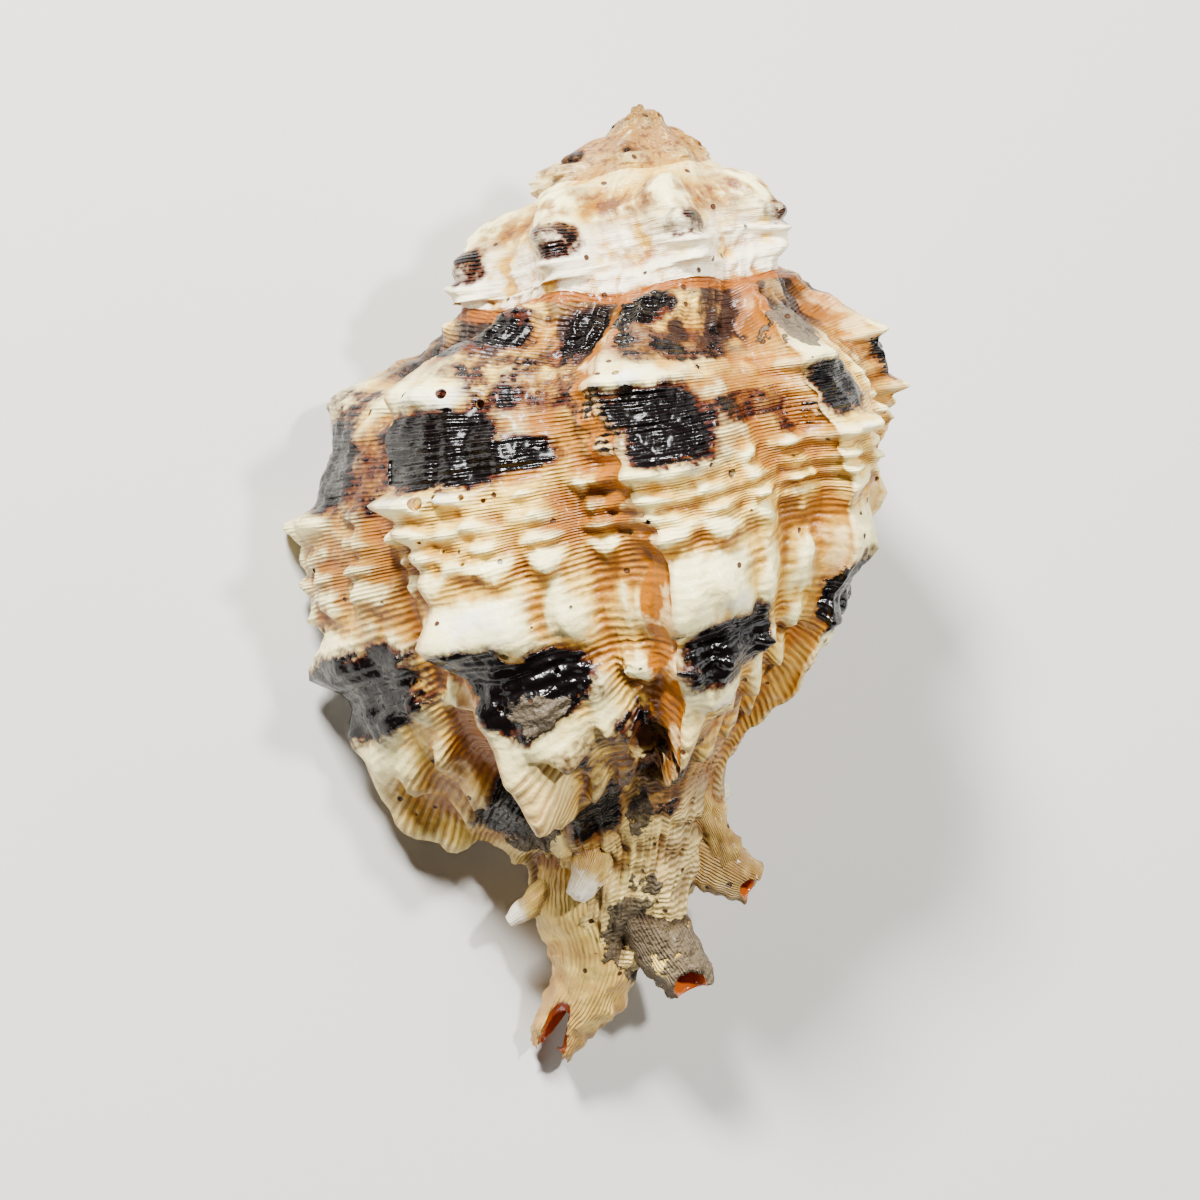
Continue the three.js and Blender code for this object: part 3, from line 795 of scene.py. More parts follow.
# %% One set operation, and the slit
def combine(body, tool_mesh, operation):
    """Joins a closed mesh to the body, or cuts it out. The cut takes the tool's finish."""
    tool = bpy.data.objects.new("tool", tool_mesh)
    bpy.context.scene.collection.objects.link(tool)
    modifier = body.modifiers.new("cut", "BOOLEAN")
    modifier.object = tool
    modifier.operation = operation
    modifier.solver = "MANIFOLD"
    modifier.material_mode = "TRANSFER"
    mesh = bpy.data.meshes.new_from_object(body.evaluated_get(bpy.context.evaluated_depsgraph_get()))
    body.modifiers.clear()
    body.data = mesh
    bpy.data.objects.remove(tool)


def slit(stops, widths, depth):
    """A wedge that opens the canal along the side it lies on."""
    shape = bmesh.new()
    rings = []
    for (x, y, z, _), width in zip(stops, widths):
        corners = [(-width / 2, 0), (width / 2, 0), (width / 2, -depth), (-width / 2, -depth)]
        rings.append([shape.verts.new((x + dx, y, z + dz)) for dx, dz in corners])
    for one, two in zip(rings, rings[1:]):
        for i in range(4):
            shape.faces.new((one[i], one[(i + 1) % 4], two[(i + 1) % 4], two[i]))
    shape.faces.new(rings[0])
    shape.faces.new(reversed(rings[-1]))
    mesh = bpy.data.meshes.new("slit")
    shape.to_mesh(mesh)
    shape.free()
    mesh.materials.append(MATERIALS["mouth_porcelain"])
    close_holes(mesh)
    return mesh


# %% Join and cut
SLIT_DEPTH = 14
SLIT_WIDTHS = [0.9, 0.9, 0.9, 0.8, 0.7, 2.6]
shell = bpy.data.objects.new("oiled_murex", whorls)
bpy.context.scene.collection.objects.link(shell)
for mesh in added:
    combine(shell, mesh, "UNION")
combine(shell, living_space, "DIFFERENCE")
widest = CANAL[0][3]
bore = [(x, y, z, CANAL_BORE * (0.6 + 0.4 * radius / widest)) for x, y, z, radius in CANAL]
combine(shell, tube("canal bore", beyond(bore, 4), wrinkles=0.2, finish="mouth_porcelain"), "DIFFERENCE")
combine(shell, slit(CANAL, SLIT_WIDTHS, SLIT_DEPTH), "DIFFERENCE")
for path in OPEN_ENDS:
    opening = tube("open end", path, wrinkles=0.25, sides=28, finish="mouth_porcelain")
    combine(shell, opening, "DIFFERENCE")
print("joined and cut:", len(shell.data.polygons), "faces")

# %% [markdown]
# ## Holes of borers, and a lighter mesh
# Worms and sponges bored into the worn knobs and left round holes. A dark dot in the finish would look
# painted on, so they are cut. Their walls are still painted dark brown as shade inside the holes. Each hole is
# a place on the growth map with a radius and a depth. The nearest point of the mesh gives its position and
# direction, and one cut makes them all. The mesh is then thinned where it is flat or where its points stand
# much closer than the eye can tell.

# %% Where the holes are: varix, share of the interval behind it, line, radius and depth
BORES = [
    (0, 0.14, 7.57, 0.7, 1.4), (1, 0.1, 2.2, 0.5, 1.5), (1, 0.29, 2.17, 0.75, 1.6), (1, 0.4, 2.4, 0.6, 1.5),
    (1, 0.16, 4.15, 1.0, 2.2), (1, 0.24, 4.02, 0.45, 1.2), (1, 0.33, 4.1, 0.4, 1.2),
    (1, 0.38, 4.3, 0.35, 1), (1, 0.25, 6.77, 0.75, 1.6), (1, 0.06, 6.7, 0.4, 1), (1, 0.13, 7.3, 0.45, 1.1),
    (1, 0.4, 7.1, 0.4, 1), (1, 0.15, 5.3, 0.35, 1), (1, 0.08, 5.0, 0.3, 0.8), (1, 0.22, 5.7, 0.35, 0.9),
    (2, 0.44, 4.66, 0.65, 1.3), (2, 0.1, 2.05, 0.5, 1.3), (2, 0.02, 5.5, 0.4, 1), (2, 0.02, 6.9, 0.4, 1),
    (2, 0.5, 2.0, 0.45, 1.2), (1, 0.8, 8.41, 2.6, 1.8), (1, 0.93, 8.9, 1.6, 1.5),
    (0, 0.5, 2.3, 0.5, 1.2), (0, 0.2, 5.2, 0.4, 1),
]
BORE_SIDES = 14
PROUD = 1.5  # mm that a cutter stands above the skin
BORE_SHADE_PLACE = (-0.2, 12.9)  # a place on the growth map under a brown spot, so the walls of the holes get painted shade


def vertex_growth(mesh):
    """The turn and the line of every vertex, read from the growth map of its corners."""
    values = np.zeros(2 * len(mesh.loops))
    mesh.uv_layers["growth"].data.foreach_get("uv", values)
    corners = np.zeros(len(mesh.loops), int)
    mesh.loops.foreach_get("vertex_index", corners)
    growth = np.zeros((len(mesh.vertices), 2))
    growth[corners] = values.reshape(-1, 2)
    return growth


def bore_tool(mesh, bores):
    growth = vertex_growth(mesh)
    shape = bmesh.new()
    for varix, behind, line, radius, depth in bores:
        round_coil = (growth[:, 0] + (varix + behind) / VARICES_IN_A_WHORL) * LIP_GIRTH
        far = np.hypot(round_coil, (growth[:, 1] - line) * LINE_SPACING)
        vertex = mesh.vertices[int(np.argmin(far))]
        turned = Vector((0, 0, 1)).rotation_difference(vertex.normal).to_matrix().to_4x4()
        middle = vertex.co + vertex.normal * (PROUD - depth / 2)
        bmesh.ops.create_cone(
            shape, cap_ends=True, segments=BORE_SIDES, radius1=0.75 * radius, radius2=1.1 * radius,
            depth=depth + 2 * PROUD, matrix=Matrix.Translation(middle) @ turned,
        )
    # Every wall of a hole is mapped to one place that lies under a brown spot: painted shade inside the holes.
    growth_map = shape.loops.layers.uv.new("growth")
    for face in shape.faces:
        for loop in face.loops:
            loop[growth_map].uv = BORE_SHADE_PLACE
    made = bpy.data.meshes.new("bores")
    shape.to_mesh(made)
    shape.free()
    made.materials.append(MATERIALS["oiled_shell"])
    return made


# %% Bore the holes and thin the mesh
FACES_KEPT = 190000
combine(shell, bore_tool(shell.data, BORES), "DIFFERENCE")
thinner = shell.modifiers.new("thin", "DECIMATE")
shell.data.calc_loop_triangles()
thinner.ratio = min(1, FACES_KEPT / len(shell.data.loop_triangles))
thinned = bpy.data.meshes.new_from_object(shell.evaluated_get(bpy.context.evaluated_depsgraph_get()))
shell.modifiers.clear()
shell.data = thinned
thinned.calc_loop_triangles()
print(len(BORES), "holes bored;", len(thinned.loop_triangles), "triangles kept")

# %% [markdown]
# ## Marks of one life
# Dark patches, chalky worn knobs, crusts and rusty stains belong to this one shell. Noise alone would strew
# them anywhere, so they are listed one by one. Each is a spot at a place on the growth map: the varix it lies
# behind, how far behind as a share of the interval, the line, and its half-length and half-height in those
# same units. A corner's value is 1 at the middle of a spot and 0 at its rim, so the finish can give every rim
# a ragged edge of its own.

# %% Dark and brown spots
DARK = [
    (0, 0.24, 3.2, 0.28, 0.75), (0, 0.28, 7.0, 0.34, 0.42), (1, 0.2, 3.25, 0.3, 0.7),
    (1, 0.48, 3.45, 0.26, 0.3), (1, 0.1, 6.9, 0.15, 0.22), (1, 0.28, 7.2, 0.28, 0.34),
    (2, 0.22, 3.25, 0.18, 0.85), (2, 0.31, 7.2, 0.27, 0.34), (3, 0.2, 3.1, 0.17, 0.8),
    (3, 0.13, 7.1, 0.2, 0.4), (0, 0.6, 9.0, 0.35, 0.4), (1, 0.25, 9.3, 0.3, 0.5), (0, 0.6, 1.2, 0.3, 0.5),
    (1, 0.2, 0.9, 0.2, 0.6), (1, 0.75, 0.8, 0.16, 0.6), (2, 0.15, 0.7, 0.2, 0.4),
]
UNSEEN = (4, 5, 6, 7)
DARK += [(varix, 0.2, 3.2, 0.26, 0.75) for varix in UNSEEN]
DARK += [(varix, 0.25, 7.2, 0.3, 0.4) for varix in UNSEEN]
BROWN = [
    (2, 0.73, 3.14, 0.16, 0.3), (2, 0.89, 3.65, 0.1, 0.3), (2, 0.58, 3.2, 0.2, 0.3),
    (1, 0.95, 3.0, 0.12, 0.7), (1, 0.62, 2.2, 0.25, 0.4), (0, 0.1, 2.3, 0.3, 0.4), (1, 0.5, 1.5, 0.3, 0.4),
    # (1, 0.522, 12.9) is the place that the walls of the bored holes are mapped to: painted shade inside them.
    (2, 0.4, 1.4, 0.3, 0.4), (1, 0.522, 12.9, 0.03, 0.05), (1, 0.55, 8.3, 0.3, 0.5),
    (0, 0.6, 3.4, 0.2, 0.8), (1, 0.9, 8.9, 0.3, 0.7),
]
SPIRE_VARICES = range(8, 33)
BROWN += [(varix, 0.05, 3.5, 0.16, 0.62) for varix in SPIRE_VARICES]
BROWN_DEPTH = 0.0  # how dark a brown spot may get: it has a shade, but no black middle
print(len(DARK), "dark spots and", len(BROWN), "brown ones")

# %% Worn, crusted and rusty spots
WORN = [
    (1, 0.27, 2.25, 0.26, 0.36), (1, 0.18, 4.15, 0.3, 0.3), (1, 0.2, 6.5, 0.26, 0.25),
    (2, 0.12, 2.1, 0.22, 0.26), (2, 0.28, 4.4, 0.26, 0.26), (2, 0.3, 6.72, 0.3, 0.16),
    (2, 0.28, 7.72, 0.3, 0.16), (3, 0.15, 4.1, 0.2, 0.26), (0, 0.78, 2.3, 0.14, 0.3),
]
CRUST = [
    (1, 0.27, 7.4, 0.14, 0.16), (3, 0.2, 1.4, 0.3, 0.5), (1, 0.75, 11.3, 0.45, 0.7),
    (0, 0.5, 9.4, 0.4, 0.35), (1, 0.75, 9.6, 0.2, 0.4),
]
RUST = [
    (1, 0.62, 3.2, 0.3, 1.2), (2, 0.6, 3.0, 0.3, 1.0), (1, 0.74, 5.0, 0.2, 0.9), (2, 0.45, 1.2, 0.3, 0.5),
    (0, 0.55, 3.4, 0.24, 1.2), (1, 0.6, 1.0, 0.4, 0.5), (1, 0.7, 8.6, 0.4, 0.6), (2, 0.6, 9.5, 0.5, 1.2),
    (1, 0.93, 1.0, 0.12, 0.8), (2, 0.9, 0.8, 0.16, 0.9), (0, 0.6, 5.0, 0.2, 2.0), (3, 0.2, 10.5, 0.9, 1.2),
    (0, 0.35, 5.3, 0.5, 0.9),
]
ROUND = 2
SQUARE = 4


def spot_field(turn, line, spots, corners):
    """How deep each place lies inside the nearest spot: 1 at its middle, 0 at its rim, never below -1."""
    phase = -turn * VARICES_IN_A_WHORL
    field = np.full(len(turn), -1.0)
    for varix, behind, at_line, length, height in spots:
        sides = np.abs([(phase - varix - behind) / length, (line - at_line) / height]) ** corners
        field = np.maximum(field, 1 - sides.sum(axis=0) ** (1 / corners))
    return field


# %% [markdown]
# ## A worn tip, and the height of each place
# The oldest whorls have been rubbed for years into a plain cone. The points near the tip are therefore
# smoothed and drawn in towards the axis. The finish also has to know what stands high and what lies low: high
# places are worn pale, and hollows keep their brown and are darkened further with painted shade. Pointiness
# from the renderer depends on the mesh, so the relief is measured here, against a smoothed copy of the
# surface, and kept as an attribute.

# %% Smooth a mesh
def point_places(mesh):
    values = np.zeros(3 * len(mesh.vertices))
    mesh.vertices.foreach_get("co", values)
    return values.reshape(-1, 3)


def smoothed(mesh, rounds):
    """Every point moved to the middle of its neighbours, over and over."""
    places = point_places(mesh)
    count = len(places)
    ends = np.zeros(2 * len(mesh.edges), int)
    mesh.edges.foreach_get("vertices", ends)
    one, two = ends.reshape(-1, 2).T
    degree = np.bincount(one, minlength=count) + np.bincount(two, minlength=count)
    for _ in range(rounds):
        sums = [
            np.bincount(one, places[two, axis], count) + np.bincount(two, places[one, axis], count)
            for axis in range(3)
        ]
        places = np.stack(sums, axis=1) / degree[:, None]
    return places


# %% Wear the tip and measure the relief
RELIEF_ROUNDS = 40
RELIEF_HEIGHT = 1.1  # mm that count as fully high
TIP_REACH = 17  # mm from the tip where the wear starts
TIP_FADE = 11  # mm over which it grows to full wear
TIP_ROUNDS = 30
TIP_CONE = 10  # mm below the tip where the cone is full width
TIP_NARROW = 0.4  # its width at the tip, as a share of the full width


def wear_tip(mesh):
    """The oldest whorls are worn to a rounded cone: the closer to the tip, the more."""
    places = point_places(mesh)
    share = ((TIP_REACH - np.linalg.norm(places, axis=1)) / TIP_FADE).clip(0, 1)[:, None]
    worn = places + share * (smoothed(mesh, TIP_ROUNDS) - places)
    down = (-worn[:, 1:2] / TIP_CONE).clip(0, 1)
    worn[:, [0, 2]] *= TIP_NARROW + (1 - TIP_NARROW) * down * down * (3 - 2 * down)
    mesh.vertices.foreach_set("co", worn.ravel())
    mesh.update()


def measure_relief(mesh):
    """How far each point stands above a smoothed copy of the surface: 1 is high, and -1 lies low."""
    normals = np.zeros(3 * len(mesh.vertices))
    mesh.vertex_normals.foreach_get("vector", normals)
    above = ((point_places(mesh) - smoothed(mesh, RELIEF_ROUNDS)) * normals.reshape(-1, 3)).sum(axis=1)
    return (above / RELIEF_HEIGHT).clip(-1, 1)


wear_tip(shell.data)
relief = measure_relief(shell.data)
print("half of the points have a relief between", *np.percentile(relief, (25, 75)).round(2))


# %% Read values at corners, and near a path
def corner_values(mesh, values):
    corners = np.zeros(len(mesh.loops), int)
    mesh.loops.foreach_get("vertex_index", corners)
    return values[corners]


def near_path(places, stops, reach):
    """1 on a path of stops, falling to 0 at the given distance from it and to -1 far away."""
    stops = np.array([stop[:3] for stop in stops])
    dense = np.concatenate([np.linspace(a, b, 8) for a, b in zip(stops, stops[1:])])
    far = np.min([np.linalg.norm(places - point, axis=1) for point in dense], axis=0)
    return np.maximum(1 - far / reach, -1)


# %% Paint the marks on the mesh
TUBE_LINE = 13.5  # lines past this are tubes of the neck
OLD_END_REACH = 6.2
SIDE_END_REACH = 6
CANAL_END_REACH = 5
SPINE_TIP_REACH = 5


def paint_marks(mesh):
    growth = np.zeros(2 * len(mesh.loops))
    mesh.uv_layers["growth"].data.foreach_get("uv", growth)
    turn, line = growth.reshape(-1, 2).clip([-WHORLS, 0], [0.1, 17]).T
    mesh.uv_layers["growth"].data.foreach_set("uv", np.stack([turn, line], axis=1).ravel())
    places = corner_values(mesh, point_places(mesh))
    tube = line > TUBE_LINE
    brown = np.minimum(spot_field(turn, line, BROWN, SQUARE), BROWN_DEPTH)
    dark = np.maximum(spot_field(turn, line, DARK, SQUARE), brown)
    worn = spot_field(turn, line, WORN, ROUND)
    crust = spot_field(turn, line, CRUST, ROUND)
    rust = spot_field(turn, line, RUST, SQUARE)
    tips = [near_path(places, [path[-1], path[-1]], SPINE_TIP_REACH) for path in NECK_SPINES]
    side_end = near_path(places, OLD_CANALS[1], SIDE_END_REACH)
    dark[tube] = -1
    worn[tube] = np.max(tips, axis=0)[tube]
    crust[tube] = near_path(places, OLD_CANALS[0], OLD_END_REACH)[tube]
    rust[tube] = np.maximum(side_end, near_path(places, CANAL[-3:], CANAL_END_REACH))[tube]
    packed = np.stack([dark, worn, crust, rust], axis=1).clip(-1, 1) * 0.5 + 0.5
    mesh.color_attributes.new("marks", "FLOAT_COLOR", "CORNER").data.foreach_set("color", packed.ravel())
    mesh.attributes.new("relief", "FLOAT", "POINT").data.foreach_set("value", relief)


paint_marks(shell.data)
for name in ("turn", "line", "column", "row", "covered"):
    if name in shell.data.attributes:
        shell.data.attributes.remove(shell.data.attributes[name])
print("painted", sum(len(spots) for spots in (DARK, BROWN, WORN, CRUST, RUST)), "spots")

# %% [markdown]
# ## The oiled shell
# Shell is aragonite, a hard mineral with an IOR near 1.6. Oil fills its pores, deepens the colours and
# leaves a wet sheen, so the finish has a fairly low roughness with a thin coat, and only chalky worn knobs
# and crusts stay dull. The bands could be painted by hand, but they follow the spiral lines, so formulas of
# the growth map place them, and the listed marks and the relief vary them. Fine threads run along every
# line, brown between and cream on top, and coarser cords cross the dark patches. Clouds of noise on the
# object's own coordinates make every rim ragged. The colours are laid over each other like coats of paint.

# %% Colours
def colour(code):
    """An sRGB hex colour as linear red, green, blue and alpha."""
    parts = [int(code[i : i + 2], 16) / 255 for i in (1, 3, 5)]
    linear = [c / 12.92 if c <= 0.04045 else ((c + 0.055) / 1.055) ** 2.4 for c in parts]
    return (*linear, 1.0)


# %% Where a place lies, and its threads
THREAD_SPACING = 0.5734  # mm
CORD_SPACING = 0.956  # mm
PLACES = """
phase = 0 - turn * varices
behind = phase - floor(phase)
onTube = above(line, tubeLine)
neck = max(ease(line, 8.7, 9.6), onTube)
old = ease(turn, -0.98, -1.05) * (1 - onTube)
base = ease(line, 7.5, 8)
onRamp = ease(line, 2.0, 1.2) * below(phase, 5) * (1 - onTube)
wander = 4 * (mid - 0.5) + 9 * (big - 0.5)
thread = 0.5 + 0.5 * sin(line * threads + wander)
cord = 0.5 + 0.5 * sin(line * cords + 0.6 * wander)
ragged = 0.35 * (big - 0.5) + 0.55 * (mid - 0.5) + 0.2 * (fine - 0.5)
"""

# %% Patches, chalk, crusts, rust and pits
# pit: dark brown dots that the bump also dents; the dark brown is painted shade in the pinholes
PATCHES = """
darkness = ease(dark * 2 - 1 + (1.2 + 1.8 * onRamp) * ragged + 0.08 * cord, 0.05, 0.13)
shade = ease(dark * 2 - 1 + 1.5 * ragged, -0.26, 0.06)
chalkDepth = (0.45 + 0.5 * onTube) * (worn * 2 - 1) + 0.15 * high + 1.7 * ragged
chalk = 0.85 * ease(chalkDepth, 0.25, 0.7) * (1 - darkness)
crusted = 0.9 * ease(crust * 2 - 1 + 3 * ragged, 0.12, 0.2)
crustPale = 0.6 * crusted * ease(fine + 0.8 * (mid - 0.5) + 0.3 * high, 0.45, 0.62)
rusty = 0.85 * ease(rust * 2 - 1 + 2.4 * ragged, -0.3, 0.7)
pit = ease(pitDistance, 0.2, 0.12) * above(pitChance, 0.84)
"""

# %% The cream ground and its brown threads
# low: partly the shell's own brown between the knobs, partly painted shade that darkens the hollows by the
# measured relief
GROUND = """
paleDepth = ease(0.8 * high + 2 * ragged + 0.3 * old + 0.8 * neck, 0, 0.7)
pale = paleDepth * (1 - 0.6 * onTube) * (1 - 0.6 * base)
low = 0.9 * ease(0 - high + 1.2 * ragged - 0.2 * neck, -0.2, 0.6)
stain = 0.75 * ease(streak + 0.6 * (big - 0.5), 0.38, 0.58)
patchy = ease(dashes + 0.35 * rusty + 0.2 * low - 0.16 * pale + 0.1 * base, 0.38, 0.62)
brown = 0.56 * ease(thread, 0.6, 0.2) * patchy * (1 - 0.75 * old) * (1 - 0.88 * neck)
"""

# %% The spire
SPIRE = """
shoulder = min(1, bell(line, 2, 1) + 0.8 * ease(turn, -1.7, -2.2))
tanDepth = streak + 0.6 * (mid - 0.5) - 0.25 * high + 0.1 * ease(turn, -1.8, -2.2)
spireTan = 0.9 * old * shoulder * ease(tanDepth, 0.28, 0.5)
spireBrown = 0.85 * old * shoulder * ease(streak + 0.8 * (mid - 0.5) - 0.2 * high, 0.52, 0.66)
foot = old * ease(line, 2.4, 4.0) * ease(turn, -2.05, -1.75)
spireWhite = 0.8 * foot * ease(mid + 0.3 * streak + 0.3 * high, 0.42, 0.66)
"""

# %% The ramp and the neck
RAMP_AND_NECK = """
rampBrown = 0.8 * onRamp * ease(big + 0.3 * (mid - 0.5), 0.34, 0.44)
rampDark = 0.9 * onRamp * ease(0.6 * streak + 0.4 * big + 0.3 * (mid - 0.5) - 0.1 * high, 0.43, 0.51)
rim = bell(line, 0.1, 0.16) + bell(behind, 0.02, 0.05) + bell(behind, 1, 0.06)
rampOrange = 0.8 * onRamp * ease(rim + 1.6 * (mid - 0.5) + 0.3 * high, 0.28, 0.6)
neckTan = 0.35 * neck * ease(1 - big + 0.9 * (mid - 0.5), 0.42, 0.62)
neckDark = 0.45 * neck * (1 - 0.6 * onTube) * ease(big + 0.5 * (mid - 0.5) - 0.4 * high, 0.52, 0.7)
"""

# %% The orange inner faces of the old lips
FACES = """
scallop = abs(cos(line * 5.05 - 2.3))
faceEdge = 0.105 + 0.05 * scallop + 0.16 * (big - 0.5)
edgeBand = ease(behind, 1 - faceEdge, 1.02 - faceEdge) + 0.7 * ease(behind, 0.04, 0)
onLip = ease(line, 0.4, 0.9) * ease(line, 9, 8) * below(phase, 5) * (1 - 0.5 * above(phase, 2.5))
faceShare = ease(big + 0.5 * mid - 0.15 * bell(line, 5.3, 0.8), 0.4, 0.56)
onFace = min(1, edgeBand) * onLip * faceShare
faceCream = 0.85 * onFace * ease(mid + 0.5 * (big - 0.5) + 0.25 * high, 0.54, 0.7)
"""

# %% Gloss and fine height
SURFACE = """
roughness = 0.36 + 0.25 * (mid - 0.5) + 0.2 * chalk + 0.3 * crusted - 0.16 * darkness
bare = (1 - 0.8 * old) * (1 - 0.8 * chalk) * (1 - 0.5 * onFace) * (1 - darkness)
threaded = thread * (0.3 + 0.7 * patchy) * bare
skin = 0.14 * threaded + 0.26 * cord * darkness + 0.5 * (mid - 0.5) + 0.08 * fine + 0.3 * (dashes - 0.5)
height = skin - 0.5 * pit + crusted * 0.6 * (mid + fine)
"""
OUTSIDE = PLACES + PATCHES + GROUND + SPIRE + RAMP_AND_NECK + FACES + SURFACE

# %% The coats of colour, from the ground up
CREAM = "#ECC45A"
COATS = [
    # low is partly brown between the knobs and partly painted shade in the hollows
    ("stain", "#C88C22"), ("rusty", "#93580A"), ("low", "#9A5A14"), ("pale", "#FFF2AC"), ("brown", "#7A420C"),
    ("spireWhite", "#FFF4D8"), ("shade", "#431604"), ("spireTan", "#8A5606"), ("spireBrown", "#5A2A08"),
    ("rampBrown", "#4E281A"), ("rampDark", "#1A0C0A"), ("rampOrange", "#985002"), ("neckTan", "#925A14"),
    ("neckDark", "#3A2414"), ("onFace", "#A05C02"), ("faceCream", "#F6D08C"), ("darkness", "#080404"),
    # pit is painted shade in the pinholes
    ("chalk", "#FFF8E2"), ("crusted", "#2A2018"), ("crustPale", "#6E604A"), ("pit", "#4A2810"),
]
print(len(COATS), "coats over the cream")

# %% The fields that the finish reads
CLOUDS = [("big", 11.11, 3.0), ("mid", 3.03, 3.0), ("fine", 0.7143, 2.0)]  # name, mm across, detail
STREAKS = [("streak", (60, 1.2, 1)), ("dashes", (34, 5, 1))]  # name, counts in a whorl and in a line
PIT_SPACING = 1.923  # mm


def shell_fields(tree):
    """The growth map, the marks, the relief and the noises, by the names that the formulas use."""
    place = add_node(tree, "ShaderNodeTexCoord").outputs["Object"]
    growth = add_node(tree, "ShaderNodeUVMap", uv_map="growth").outputs[0]
    along = add_node(tree, "ShaderNodeSeparateXYZ", {0: growth}).outputs
    marks = add_node(tree, "ShaderNodeAttribute", attribute_name="marks", attribute_type="GEOMETRY").outputs
    mark = add_node(tree, "ShaderNodeSeparateColor", {0: marks["Color"]}).outputs
    relief = add_node(tree, "ShaderNodeAttribute", attribute_name="relief", attribute_type="GEOMETRY").outputs
    noises = [(name, {"Vector": place, "Scale": 1 / (size * MM), "Detail": detail})
              for name, size, detail in CLOUDS]
    for name, scale in STREAKS:
        stretching = {"Vector": growth, "Scale": scale}
        stretched = add_node(tree, "ShaderNodeMapping", stretching, vector_type="POINT")
        noises.append((name, {"Vector": stretched.outputs[0], "Scale": 1.0, "Detail": 3.0}))
    fields = {name: add_node(tree, "ShaderNodeTexNoise", inputs).outputs[0] for name, inputs in noises}
    pits = add_node(tree, "ShaderNodeTexVoronoi", {"Vector": place, "Scale": 1 / (PIT_SPACING * MM)}).outputs
    chance = add_node(tree, "ShaderNodeSeparateColor", {0: pits["Color"]}).outputs
    return {
        "turn": along[0], "line": along[1], "high": relief["Fac"],
        "dark": mark[0], "worn": mark[1], "crust": mark[2], "rust": marks["Alpha"],
        "pitDistance": pits["Distance"], "pitChance": chance[0], **fields,
    }


# %% Oiled shell: a satin gloss that pools in the dark patches, and dull chalk where the oil has worn off
def oiled_shell(material):
    material.use_nodes = True
    tree = material.node_tree
    shader = tree.nodes["Principled BSDF"]
    known = formulas(
        tree, OUTSIDE, varices=VARICES_IN_A_WHORL, tubeLine=TUBE_LINE,
        threads=math.tau * LINE_SPACING / THREAD_SPACING, cords=math.tau * LINE_SPACING / CORD_SPACING,
        **shell_fields(tree),
    )
    surface = colour(CREAM)
    for share, code in COATS:
        coat = {0: known[share], 6: surface, 7: colour(code)}
        surface = add_node(tree, "ShaderNodeMix", coat, data_type="RGBA").outputs[2]
    bump = add_node(tree, "ShaderNodeBump", {"Strength": 1.0, "Distance": MM, "Height": known["height"]})
    tree.links.new(surface, shader.inputs["Base Color"])
    tree.links.new(known["roughness"], shader.inputs["Roughness"])
    tree.links.new(bump.outputs[0], shader.inputs["Normal"])
    shader.inputs["IOR"].default_value = 1.6
    shader.inputs["Specular IOR Level"].default_value = 0.25
    shader.inputs["Coat Weight"].default_value = 0.1
    shader.inputs["Coat Roughness"].default_value = 0.15
    print(material.name, "has", len(tree.nodes), "nodes")


oiled_shell(MATERIALS["oiled_shell"])

# %% [markdown]
# ## The porcelain of the mouth
# Inside, the shell is laid down in smooth glassy layers, warm white deep in the mouth and orange at its edges
# and in the canal. One flat white would look like paint, and a painted map isn't needed for two colours, so
# the place along the shell and a soft cloud mix them, under a strong, even gloss.

# %% Mouth porcelain: a wet, glassy shine over a colour that shifts slowly
WHITE_ENDS = -0.012
ORANGE_STARTS = -0.03
CLOUD = 8.33  # mm across
INSIDE = "orange = min(1, ease(y, whiteEnds, orangeStarts) + 0.5 * ease(cloud, 0.5, 0.7))"


def mouth_porcelain(material):
    material.use_nodes = True
    tree = material.node_tree
    shader = tree.nodes["Principled BSDF"]
    place = add_node(tree, "ShaderNodeTexCoord").outputs["Object"]
    cloud = add_node(tree, "ShaderNodeTexNoise", {"Vector": place, "Scale": 1 / (CLOUD * MM), "Detail": 3.0})
    y = add_node(tree, "ShaderNodeSeparateXYZ", {0: place}).outputs[1]
    ends = {"whiteEnds": WHITE_ENDS, "orangeStarts": ORANGE_STARTS}
    orange = formulas(tree, INSIDE, y=y, cloud=cloud.outputs[0], **ends)["orange"]
    layers = {0: orange, 6: colour("#F3DEC4"), 7: colour("#B8540E")}
    surface = add_node(tree, "ShaderNodeMix", layers, data_type="RGBA").outputs[2]
    tree.links.new(surface, shader.inputs["Base Color"])
    shader.inputs["Roughness"].default_value = 0.22
    shader.inputs["IOR"].default_value = 1.6
    shader.inputs["Coat Weight"].default_value = 0.3
    print(material.name, "has", len(tree.nodes), "nodes")


mouth_porcelain(MATERIALS["mouth_porcelain"])

# %% [markdown]
# ## Lay the shell down and light it
# One matrix turns the shell, lays it on the floor and brings it to metres. The knobs that it rests on are
# worn. A flat cut would leave a sharp rim there, so the last millimetre above the floor is pressed together
# instead. Then come a plain pale floor and soft studio lights: a broad one from the upper left, a weaker
# one from the right, and a small one from above for crisp glints on the oil.

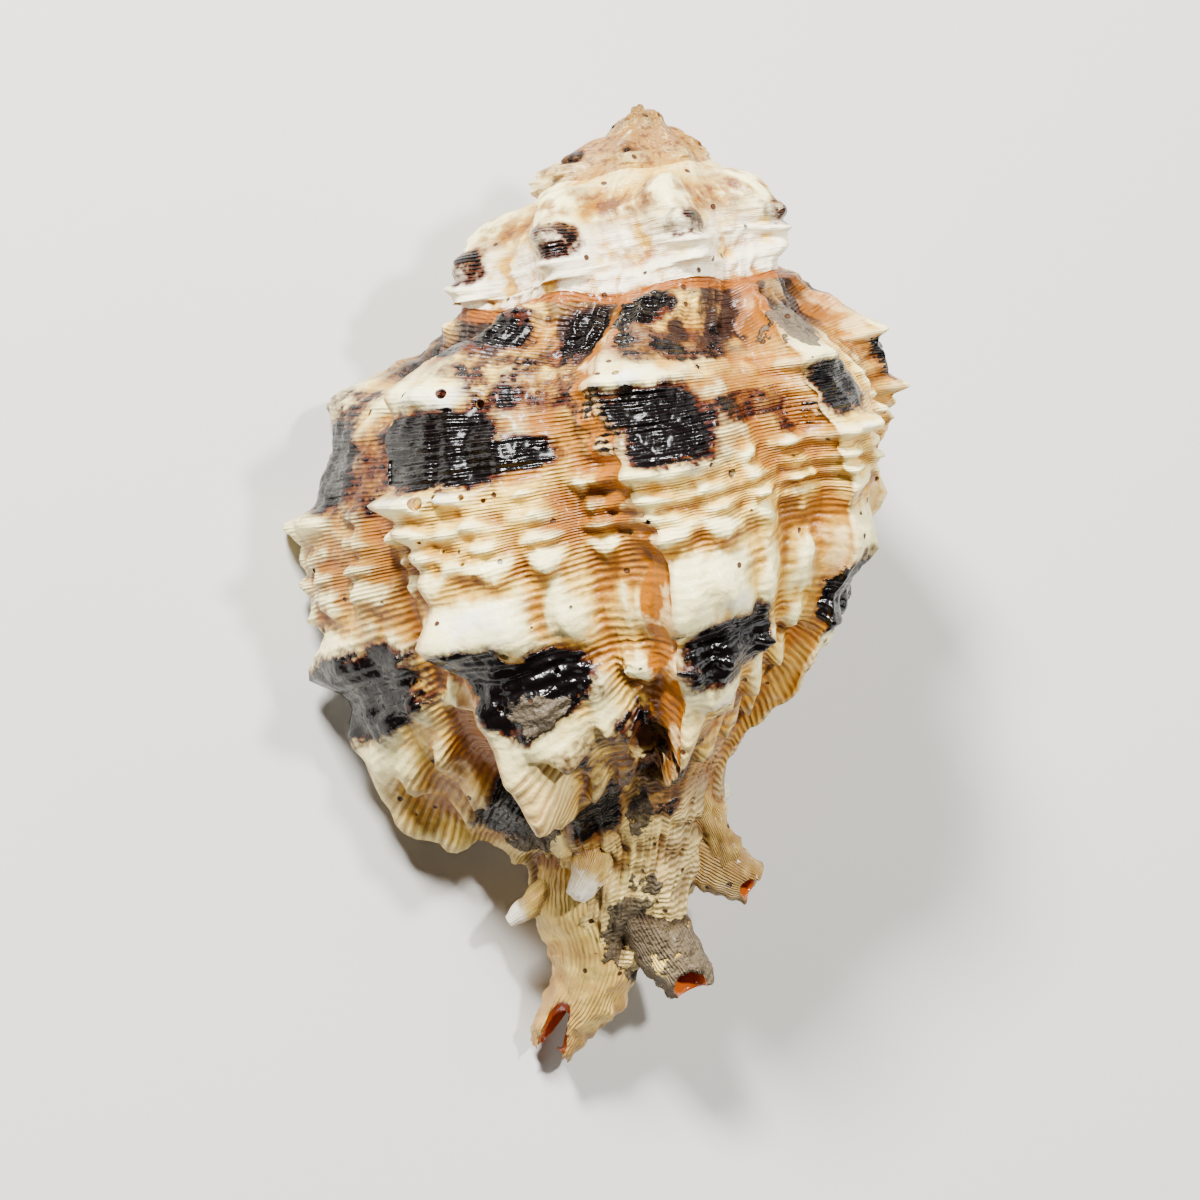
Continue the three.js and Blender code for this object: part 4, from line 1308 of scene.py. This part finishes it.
# %% Place the shell
shell.data.transform(AT_REST)
places = point_places(shell.data)
resting = places[:, 2] < MM
places[resting, 2] = MM * np.exp(places[resting, 2] / MM - 1)
shell.data.vertices.foreach_set("co", places.ravel())
print(int(resting.sum()), "points worn flat where the shell rests")
shell.data.polygons.foreach_set("use_smooth", [True] * len(shell.data.polygons))
shell.data.update()
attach(shell, "root")
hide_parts("murex_shell")

# %% Floor
floor_mesh = bpy.data.meshes.new("floor")
floor_mesh.from_pydata([(-2, -2, 0), (2, -2, 0), (2, 2, 0), (-2, 2, 0)], [], [(0, 1, 2, 3)])
floor = bpy.data.objects.new("floor", floor_mesh)
bpy.context.scene.collection.objects.link(floor)
pale = bpy.data.materials.new("matt_pale_board")
pale.use_nodes = True
pale.node_tree.nodes["Principled BSDF"].inputs["Base Color"].default_value = colour("#C6C3BC")
pale.node_tree.nodes["Principled BSDF"].inputs["Roughness"].default_value = 0.8
floor_mesh.materials.append(pale)
floor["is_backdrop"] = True
print("the floor stands at", floor.location.z)


# %% Lights
def light(name, place, size, power):
    data = bpy.data.lights.new(name, "AREA")
    data.size = size
    data.energy = power
    lamp = bpy.data.objects.new(name, data)
    centre = AT_REST @ Vector((-3, -55, 0))
    lamp.location = centre + Vector(place)
    lamp.rotation_euler = (-Vector(place)).to_track_quat("-Z", "Y").to_euler()
    bpy.context.scene.collection.objects.link(lamp)


light("broad", (-0.28, 0.42, 0.46), 0.13, 19.5)
light("fill", (0.5, 0.1, 0.3), 0.4, 1.8)
light("glint", (0.14, 0.12, 0.72), 0.05, 8)
world = bpy.data.worlds.new("studio")
world.use_nodes = True
world.node_tree.nodes["Background"].inputs[0].default_value = colour("#F4F2EE")
world.node_tree.nodes["Background"].inputs[1].default_value = 0.1
bpy.context.scene.world = world

# %% Print the sizes of the model and of the shell
sizes = {
    "cad": [list(corner) for corner in CAD_BOX],
    "visual": [list(corner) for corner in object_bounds()],
}
for name, (low, high) in sizes.items():
    print(name, "measures", *[round((top - bottom) / MM, 1) for bottom, top in zip(low, high)], "mm")
